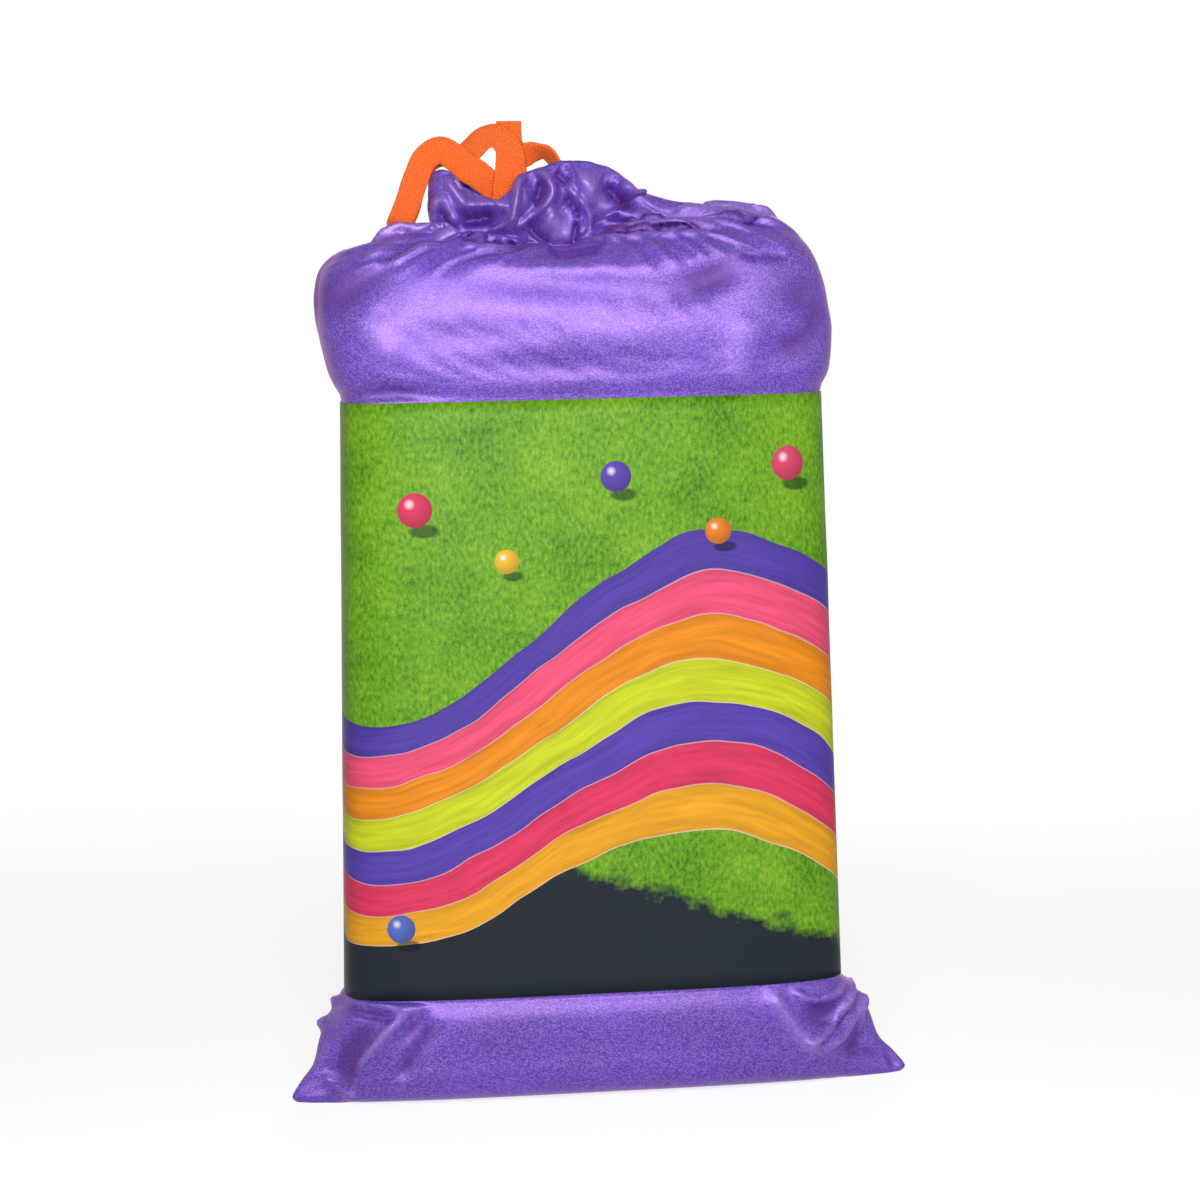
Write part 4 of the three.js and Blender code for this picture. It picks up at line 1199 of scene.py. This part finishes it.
def knitted_tape():
    """Chevrons from a slanted sine on each side of the middle, under fine fuzz."""
    nodes = Nodes("cord_tape")
    uv, along, across = nodes.uv()
    off_middle = nodes.math("ABSOLUTE", nodes.math("SUBTRACT", across, 0.5))
    rows = nodes.sine(nodes.times(off_middle, KNIT_SLANT, along), KNIT_ROWS)
    knit = nodes.times(rows, nodes.sine(across, KNIT_RIBS))
    fuzz = nodes.noise(uv, 17.0, 4, 0.8)
    return nodes.principled({
        "Base Color": nodes.ramp(nodes.times(knit, 0.1, fuzz), TAPE_ORANGES),
        "Roughness": 0.88,
        "Normal": nodes.bump(fuzz, 0.8, 0.0009, nodes.bump(knit, 0.4, 0.0005)),
        "Sheen Weight": 0.4,
        "Sheen Roughness": 0.5,
        "Sheen Tint": srgb(255, 170, 90),
    })


cord_tape = knitted_tape()

# %% Make the loops and the end of the drawcord


def drawcord_piece(name, route, spread, lean, ripple):
    """One stretch of the drawcord: a tape from the bag's throat, with its material and its body."""
    tape, line, length = tape_mesh(name + "_tape", route, spread, lean, ripple)
    finish_piece(tape, "drawcord", "cord_tape", cord_tape, name)
    print("%s: %.0f mm long" % (name, length))


drawcord_piece("drawcord_loops", LOOP_ROUTE, LOOP_SPREAD, LOOP_LEAN, 0.25)
drawcord_piece("drawcord_end", END_ROUTE, END_SPREAD, END_LEAN, 0.2)

# %% [markdown]
# ## Inside the bag
# The folded parachute can't be seen in the picture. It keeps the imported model's form: eight gores, each
# folded in half and pleated together into four runs, with a webbing handle for each gore at the rim,
# and a mesh vent with its binding at the narrow end. Here the folds are round and the cloth has its weave.

# %% Sizes of the folded parachute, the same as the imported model's
GORE_COUNT = 8
GORE_THICKNESS = 1.3
LAYER_GAP = 0.3
LAYER_PITCH = GORE_THICKNESS + LAYER_GAP
RUN_DEPTH = GORE_COUNT * LAYER_PITCH
FOLD_RUNS = 4
LOW_TURN_Z = 14.15
HIGH_TURN_Z = 386.15
PACK_WIDTH = 200
VENT_RADIUS = 100
WEBBING_WIDTH = 20
WEBBING_SPACING = 22
WEBBING_THICKNESS = 1.2
HANDLE_TOP = 99.45
HANDLE_Y = -27.7
HANDLE_PLY = 1.8
BINDING_THICKNESS = 1.5
MESH_WIDTH = 46
MESH_THICKNESS = 1.0
MESH_FOLD_PITCH = 2.0
APEX_Y = 1.5 * RUN_DEPTH


def flat_band(name, path, thickness, half_widths, middle=0.0, across=9):
    """A band along a path of (y, z), as wide as stated at each of its points. Its two faces stand half
    its thickness off the path, and UV is in units of 100 mm along and across it."""
    path = np.asarray(path, float)
    tangent = unit(np.gradient(path, axis=0))
    out = np.stack([-tangent[:, 1], tangent[:, 0]], -1)
    x = middle + np.asarray(half_widths)[:, None] * np.linspace(-1, 1, across)[None, :]

    def face(off):
        line = path + out * off
        return np.stack([x, line[:, :1] + 0 * x, line[:, 1:] + 0 * x], -1)

    uv = np.stack([x, lengths_along(path)[:, None] + 0 * x], -1) / UV_UNIT
    made = sheet_mesh(name, face(thickness / 2), face(-thickness / 2), uv, smooth=False)
    merge_outward(made)
    return made


def rounded(path, radius, steps=6):
    """A path whose corners are eased: each corner becomes a short curve between points on its arms."""
    path = np.asarray(path, float)
    points = [path[:1]]
    t = np.linspace(0, 1, steps)[:, None]
    for before, corner, after in zip(path[:-2], path[1:-1], path[2:]):
        arms = [end - corner for end in (before, after)]
        reach = [min(radius, np.linalg.norm(arm) / 2.2) / np.linalg.norm(arm) for arm in arms]
        a, b = corner + arms[0] * reach[0], corner + arms[1] * reach[1]
        points.append((1 - t) ** 2 * a + 2 * t * (1 - t) * corner + t**2 * b)
    points.append(path[-1:])
    return np.concatenate(points)


def gore_path(k):
    """The way of one gore: up, over, down, under and up again, and each turn is half a circle."""
    path = []
    for run in range(FOLD_RUNS):
        up = run % 2 == 0
        y = (run - 1.5) * RUN_DEPTH + (1 if up else -1) * (k - 3.5) * LAYER_PITCH
        z = np.linspace(LOW_TURN_Z, HIGH_TURN_Z, 14)[:: 1 if up else -1]
        path.append(np.stack([0 * z + y, z], -1))
        if run + 1 < FOLD_RUNS:
            centre = (run - 1.5) * RUN_DEPTH + RUN_DEPTH / 2
            angle = np.linspace(0, np.pi, 22)[1:-1]
            radius = centre - y
            turn_z = HIGH_TURN_Z + radius * np.sin(angle) if up else LOW_TURN_Z - radius * np.sin(angle)
            path.append(np.stack([centre - radius * np.cos(angle), turn_z], -1))
    return np.concatenate(path)


def gore_piece(k):
    """A gore folded in half is as wide as an eighth of half the circle there, up to the pack's width."""
    path = gore_path(k)
    along = lengths_along(path)
    half = np.minimum(PACK_WIDTH, np.pi * (along[-1] - along + VENT_RADIUS) / GORE_COUNT) / 2
    return flat_band("gore_%d_cloth" % (k + 1), path, GORE_THICKNESS, half, across=25)


def handle_piece(k):
    """A webbing loop from under its gore's rim, forward under the pack, up its front and back down."""
    rim_y = -1.5 * RUN_DEPTH + (k - 3.5) * LAYER_PITCH - LAYER_GAP
    low = LOW_TURN_Z - LAYER_GAP - 2 * WEBBING_THICKNESS
    path = [
        (rim_y, LOW_TURN_Z - LAYER_GAP), (rim_y, low), (HANDLE_Y, low), (HANDLE_Y, HANDLE_TOP),
        (HANDLE_Y - HANDLE_PLY, HANDLE_TOP), (HANDLE_Y - HANDLE_PLY, low),
    ]
    path = rounded(path, 1.6)
    half = np.full(len(path), WEBBING_WIDTH / 2)
    middle = (k - 3.5) * WEBBING_SPACING
    return flat_band("rim_handle_%d_webbing" % (k + 1), path, WEBBING_THICKNESS, half, middle)


def binding_piece():
    """The tape that joins the narrow ends of all the gores, just under them."""
    z = LOW_TURN_Z - LAYER_GAP - BINDING_THICKNESS / 2
    y = np.linspace(APEX_Y - RUN_DEPTH / 2, APEX_Y + RUN_DEPTH / 2 - LAYER_GAP, 12)
    half = np.full(12, np.pi * VENT_RADIUS / GORE_COUNT / 2)
    return flat_band("vent_binding_tape", np.stack([y, 0 * y + z], -1), BINDING_THICKNESS, half)


def mesh_piece():
    """The round mesh of the vent, folded to and fro under its binding."""
    top = LOW_TURN_Z - 2 * LAYER_GAP - BINDING_THICKNESS - MESH_THICKNESS / 2
    reach = RUN_DEPTH / 2 - MESH_THICKNESS
    path = []
    for fold in range(4):
        forward = 1 if fold % 2 else -1
        z = top - fold * MESH_FOLD_PITCH
        path += [(APEX_Y - forward * reach, z), (APEX_Y + forward * reach, z)]
    path = rounded(path, 1.0)
    return flat_band("vent_mesh_net", path, MESH_THICKNESS, np.full(len(path), MESH_WIDTH / 2))


CASING_TAPE = 0.3
CASING_UP = np.array([6, 7, 8, 9])
CASING_DOWN = np.array([2, 3, 4, 5])
CASING_INWARD = 0.58
CASING_LENGTHS = 16  # of the tape's width, round the hem


def casing_tape():
    """The drawcord inside the hem: a closed band between the hem's two layers, nearer to the inner."""
    outer = bag_tube[NECK_ROW + CASING_UP]
    inner = bag_tube[len(bag_tube) - CASING_DOWN]
    middle = (1 - CASING_INWARD) * outer + CASING_INWARD * inner
    apart = outer - inner
    size = np.maximum(np.linalg.norm(apart, axis=-1, keepdims=True), 1e-6)
    off = apart / size * np.minimum(CASING_TAPE / 2, 0.25 * size)
    section = np.concatenate([middle + off, (middle - off)[::-1]])
    rows = len(section)
    along = np.linspace(0, CASING_LENGTHS, ROUND)[None, :] + np.zeros((rows, 1))
    share = np.concatenate([np.linspace(0, 1, rows // 2), np.linspace(1, 0, rows // 2)])[:, None]
    uv = np.stack([along, share + 0 * along], -1)
    faces = grid_faces(rows, ROUND, closed_rows=True, closed_columns=True)
    made = add_mesh("drawcord_casing_tape", section, faces, uv)
    merge_outward(made)
    return made

# %% Materials of the parachute


def woven(name, colour, scale, roughness, sheen):
    """A plain weave: two fine sines at right angles, a slow change of shade, and a soft sheen."""
    nodes = Nodes(name)
    uv, across, along = nodes.uv()
    weave = nodes.times(nodes.sine(across, scale), nodes.sine(along, scale))
    slow = nodes.noise(uv, 3.0, 3)
    shade = nodes.times(weave, 0.08, slow)
    return nodes.principled({
        "Base Color": nodes.ramp(shade, [(0.3, darker(colour, 0.72)), (0.6, colour)]),
        "Roughness": nodes.times(slow, 0.1, roughness),
        "Normal": nodes.bump(slow, 0.2, 0.001, nodes.bump(weave, 0.3, 0.0002)),
        "Sheen Weight": sheen,
    })


GORE_COLOURS = {
    "gore_purple": srgb(95, 70, 180), "gore_yellow": srgb(216, 224, 44),
    "gore_pink": srgb(235, 60, 110), "gore_orange": srgb(249, 180, 49),
}
gore_cloth = {slot: woven(slot, colour, 700.0, 0.4, 0.25) for slot, colour in GORE_COLOURS.items()}
webbing = woven("webbing", srgb(232, 230, 224), 420.0, 0.75, 0.1)
vent_net = woven("vent_mesh", srgb(36, 36, 42), 260.0, 0.65, 0.1)

# %% Make the inner pieces
for k in range(GORE_COUNT):
    slot = list(GORE_COLOURS)[k % 4]
    gore = finish_piece(gore_piece(k), "bag", slot, gore_cloth[slot], "gore_%d" % (k + 1))
for k in range(GORE_COUNT):
    finish_piece(handle_piece(k), "bag", "webbing", webbing, "rim_handle_%d" % (k + 1))
finish_piece(binding_piece(), "bag", "webbing", webbing, "vent_binding")
net = finish_piece(mesh_piece(), "bag", "vent_mesh", vent_net, "vent_mesh")
finish_piece(casing_tape(), "bag", "cord_tape", cord_tape, "drawcord_in_casing")

# %% [markdown]
# ## The card sleeve
# The sleeve is one strip of printed card, bent round the bag and glued where its ends lap at the
# back. It is swept along the same rounded rectangle as the bag's waist. Its last stretch rises by a
# card's thickness to lie over its first, so the lap is real. UV is millimetres / 100 along and up the
# strip, with 0 in the middle of the front.

# %% Sleeve shape
WAIST_LOW = (124.7, 34.2)
WAIST_HIGH = (118.1, 38.1)
FIT = 0.3
CARD = 0.6
LAP = 16
LAP_RISE = (14, 12, 0.15)  # how long before the lap it starts, over what length, and room under it
CARD_WAVES = (0.25, 120)  # height and length of the card's slow unevenness


def card_strip(rows, columns):
    """The strip's outer face: a ring x^4 + y^4 = 1 at each level's size, walked from the back round
    the left, the front and the right, to a lap past its start."""
    share = np.linspace(0, 1, rows)[:, None]
    wide = WAIST_LOW[0] + (WAIST_HIGH[0] - WAIST_LOW[0]) * share + FIT + CARD
    deep = WAIST_LOW[1] + (WAIST_HIGH[1] - WAIST_LOW[1]) * share + FIT + CARD
    angle = np.linspace(-0.3, 2 * np.pi + 0.3, 4000)[None, :]
    sn, c = np.sin(angle), np.cos(angle)
    ring_x = -wide * np.sign(sn) * np.abs(sn) ** 0.5
    ring_y = deep * np.sign(c) * np.abs(c) ** 0.5
    step = np.hypot(np.diff(ring_x, axis=1), np.diff(ring_y, axis=1))
    along = np.concatenate([np.zeros((rows, 1)), np.cumsum(step, axis=1)], 1)
    start = np.array([np.interp(0, angle[0], a) for a in along])[:, None]
    end = np.array([np.interp(2 * np.pi, angle[0], a) for a in along])[:, None]
    place = start - LAP / 2 + (end - start + LAP) * np.linspace(0, 1, columns)[None, :]
    x = np.array([np.interp(p, a, r) for p, a, r in zip(place, along, ring_x)])
    y = np.array([np.interp(p, a, r) for p, a, r in zip(place, along, ring_y)])
    z = SLEEVE_BOTTOM + (SLEEVE_TOP - SLEEVE_BOTTOM) * share + np.zeros(x.shape)
    points = np.stack([BAG_MIDDLE + x, y, z], -1)
    past = place - (end - LAP / 2 - LAP_RISE[0])
    lift = (CARD + LAP_RISE[2]) * smoothstep(past / LAP_RISE[1])
    lift += CARD_WAVES[0] * waves(place, z, CARD_WAVES[1], 5, 2)
    uv = np.stack([place - (start + end) / 2, z - SLEEVE_BOTTOM], -1) / UV_UNIT
    return points, lift, uv


def sleeve_mesh():
    """The strip with a card's thickness behind it, closed round its edges."""
    points, lift, uv = card_strip(40, 420)
    normal = normals_of(points)
    outer = points + normal * np.maximum(lift, 0)[..., None]
    inner = outer - normal * CARD
    made = sheet_mesh("card_sleeve_strip", outer, inner, uv)
    return made, (outer.shape[0] - 1) * (outer.shape[1] - 1)


# %% [markdown]
# ## The sleeve's print
# The print is a photograph-like picture of mown grass with broad cloth streamers waving across it and
# a few plain balls. It is made of node maths on the strip's UV. Each streamer is the space between two
# wavy lines, and soft streaks along it look like folds.

# %% Print material
GRASS = [
    (0.38, srgb(46, 96, 14)), (0.52, srgb(92, 152, 26)),
    (0.64, srgb(122, 180, 36)), (0.8, srgb(160, 200, 64)),
]
STREAMERS = [
    srgb(250, 176, 40), srgb(236, 62, 104), srgb(96, 70, 182), srgb(214, 224, 40), srgb(248, 150, 30),
    srgb(252, 88, 128), srgb(88, 66, 172),
]
NAVY = srgb(28, 38, 46)
BALL_SHADOW = (0.25, 0.3, 0.3, 1)
INK = (0.6, 0.6, 0.6, 1)
# Each ball: across, up, radius, colour.
BALLS = [
    (-0.86, 2.42, 0.085, srgb(235, 60, 100)), (-0.42, 2.16, 0.06, srgb(250, 200, 50)),
    (0.12, 2.56, 0.075, srgb(96, 70, 182)), (0.62, 2.28, 0.065, srgb(248, 140, 40)),
    (0.98, 2.6, 0.085, srgb(236, 80, 120)), (-0.98, 0.36, 0.07, srgb(96, 120, 210)),
]


def grass(nodes, uv, across, up):
    """Blades over slow patches, and a dark hedge's shadow with a ragged edge below them."""
    patches = nodes.noise(uv, 2.6, 4, 0.6)
    blades = nodes.noise(nodes.scaled(uv, (1, 0.55, 1)), 55.0, 3, 0.7)
    picture = nodes.ramp(nodes.times(blades, 0.75, nodes.times(patches, 0.45)), GRASS)
    hedge = nodes.times(nodes.noise(uv, 9.0, 4, 0.65), 0.28, nodes.times(across, -0.32))
    hedge = nodes.math("SUBTRACT", hedge, nodes.math("SUBTRACT", up, 0.62))
    return nodes.mix(nodes.rise(hedge, 0.12, 0.2), picture, NAVY)


def streamers(nodes, uv, across, up, picture):
    """Bands of colour between two wavy lines, lit along their middles, with soft streaks and pale seams."""
    middle = nodes.times(nodes.sine(across, 1.9, 0.5), 0.36, 1.18)
    spread = nodes.times(nodes.sine(across, 1.3), 0.12, 0.66)
    wander = nodes.times(nodes.noise(uv, 1.4, 2), 0.16, -0.08)
    height = nodes.math("ADD", nodes.math("SUBTRACT", up, middle), wander)
    place = nodes.times(nodes.math("DIVIDE", height, spread), 0.5, 0.5)
    count = len(STREAMERS)
    bands = nodes.ramp(place, [(i / count, colour) for i, colour in enumerate(STREAMERS)], "CONSTANT")
    within = nodes.math("FRACT", nodes.times(place, float(count)))
    along = nodes.add("CombineXYZ", {0: nodes.times(across, 1.1), 1: nodes.times(place, 16.0)})
    streaks = nodes.noise(along.outputs[0], 2.6, 3, 0.6, 0.4)
    light = nodes.times(streaks, 0.9, nodes.times(nodes.sine(within, np.pi), 0.16, 0.4))
    grey = nodes.add("CombineColor", {0: light, 1: light, 2: light}).outputs[0]
    bands = nodes.mix(1.0, bands, grey, "MULTIPLY")
    seam = nodes.math("LESS_THAN", within, 0.035)
    bands = nodes.mix(nodes.times(seam, 0.3), bands, WHITE)
    off_middle = nodes.math("ABSOLUTE", nodes.math("SUBTRACT", place, 0.5))
    return nodes.mix(nodes.math("LESS_THAN", off_middle, 0.5), picture, bands)


def ball(nodes, uv, spot, picture):
    """A plain ball, lit at its upper left, over a flat shadow at its lower right."""
    x, y, radius, colour = spot
    away = nodes.vector("DISTANCE", uv, (x, y, 0))
    shine = nodes.vector("DISTANCE", uv, (x - 0.3 * radius, y + 0.35 * radius, 0))
    stops = [(0, WHITE), (0.18, colour), (1, darker(colour, 0.35))]
    face = nodes.ramp(nodes.math("DIVIDE", shine, radius * 1.9), stops)
    below = nodes.vector("SUBTRACT", uv, (x + 0.5 * radius, y - 1.2 * radius, 0))
    shadow = nodes.vector("LENGTH", nodes.vector("MULTIPLY", below, (1, 2.2, 1)))
    shade = nodes.ramp(nodes.math("DIVIDE", shadow, radius), [(0.7, BALL_SHADOW), (1, WHITE)])
    picture = nodes.mix(1.0, picture, shade, "MULTIPLY")
    return nodes.mix(nodes.math("LESS_THAN", away, radius), picture, face)


def printed_card():
    """Grass, streamers and balls, under a thin gloss coat."""
    nodes = Nodes("printed_card")
    uv, across, up = nodes.uv()
    picture = streamers(nodes, uv, across, up, grass(nodes, uv, across, up))
    for spot in BALLS:
        picture = ball(nodes, uv, spot, picture)
    grain = nodes.noise(uv, 60.0, 2)
    bump = nodes.bump(nodes.noise(uv, 1.1, 2), 0.25, 0.004)
    return nodes.principled({
        "Base Color": nodes.mix(1.0, picture, INK, "MULTIPLY"),
        "Roughness": nodes.times(grain, 0.1, 0.48),
        "Normal": nodes.bump(grain, 0.05, 0.0002, bump),
        "Specular IOR Level": 0.12,
        "Coat Weight": 0.06,
        "Coat Roughness": 0.35,
    })


def raw_card():
    """The card's white back and cut edges, with a little fibre."""
    nodes = Nodes("raw_card")
    fibre = nodes.noise(nodes.add("UVMap", uv_map="UVMap").outputs[0], 30.0, 4, 0.7)
    colour = nodes.ramp(fibre, [(0.3, srgb(214, 212, 204)), (0.7, srgb(238, 237, 231))])
    bump = nodes.bump(fibre, 0.2, 0.0002)
    return nodes.principled({"Base Color": colour, "Roughness": 0.85, "Normal": bump})

# %% Make the sleeve
sleeve, printed_faces = sleeve_mesh()
finish_piece(sleeve, "sleeve", "printed_card", printed_card(), "card_sleeve")
sleeve.data.materials.append(raw_card())
card_face = (np.arange(len(sleeve.data.polygons)) >= printed_faces).astype(np.int32)
sleeve.data.polygons.foreach_set("material_index", card_face)

# %% Finish
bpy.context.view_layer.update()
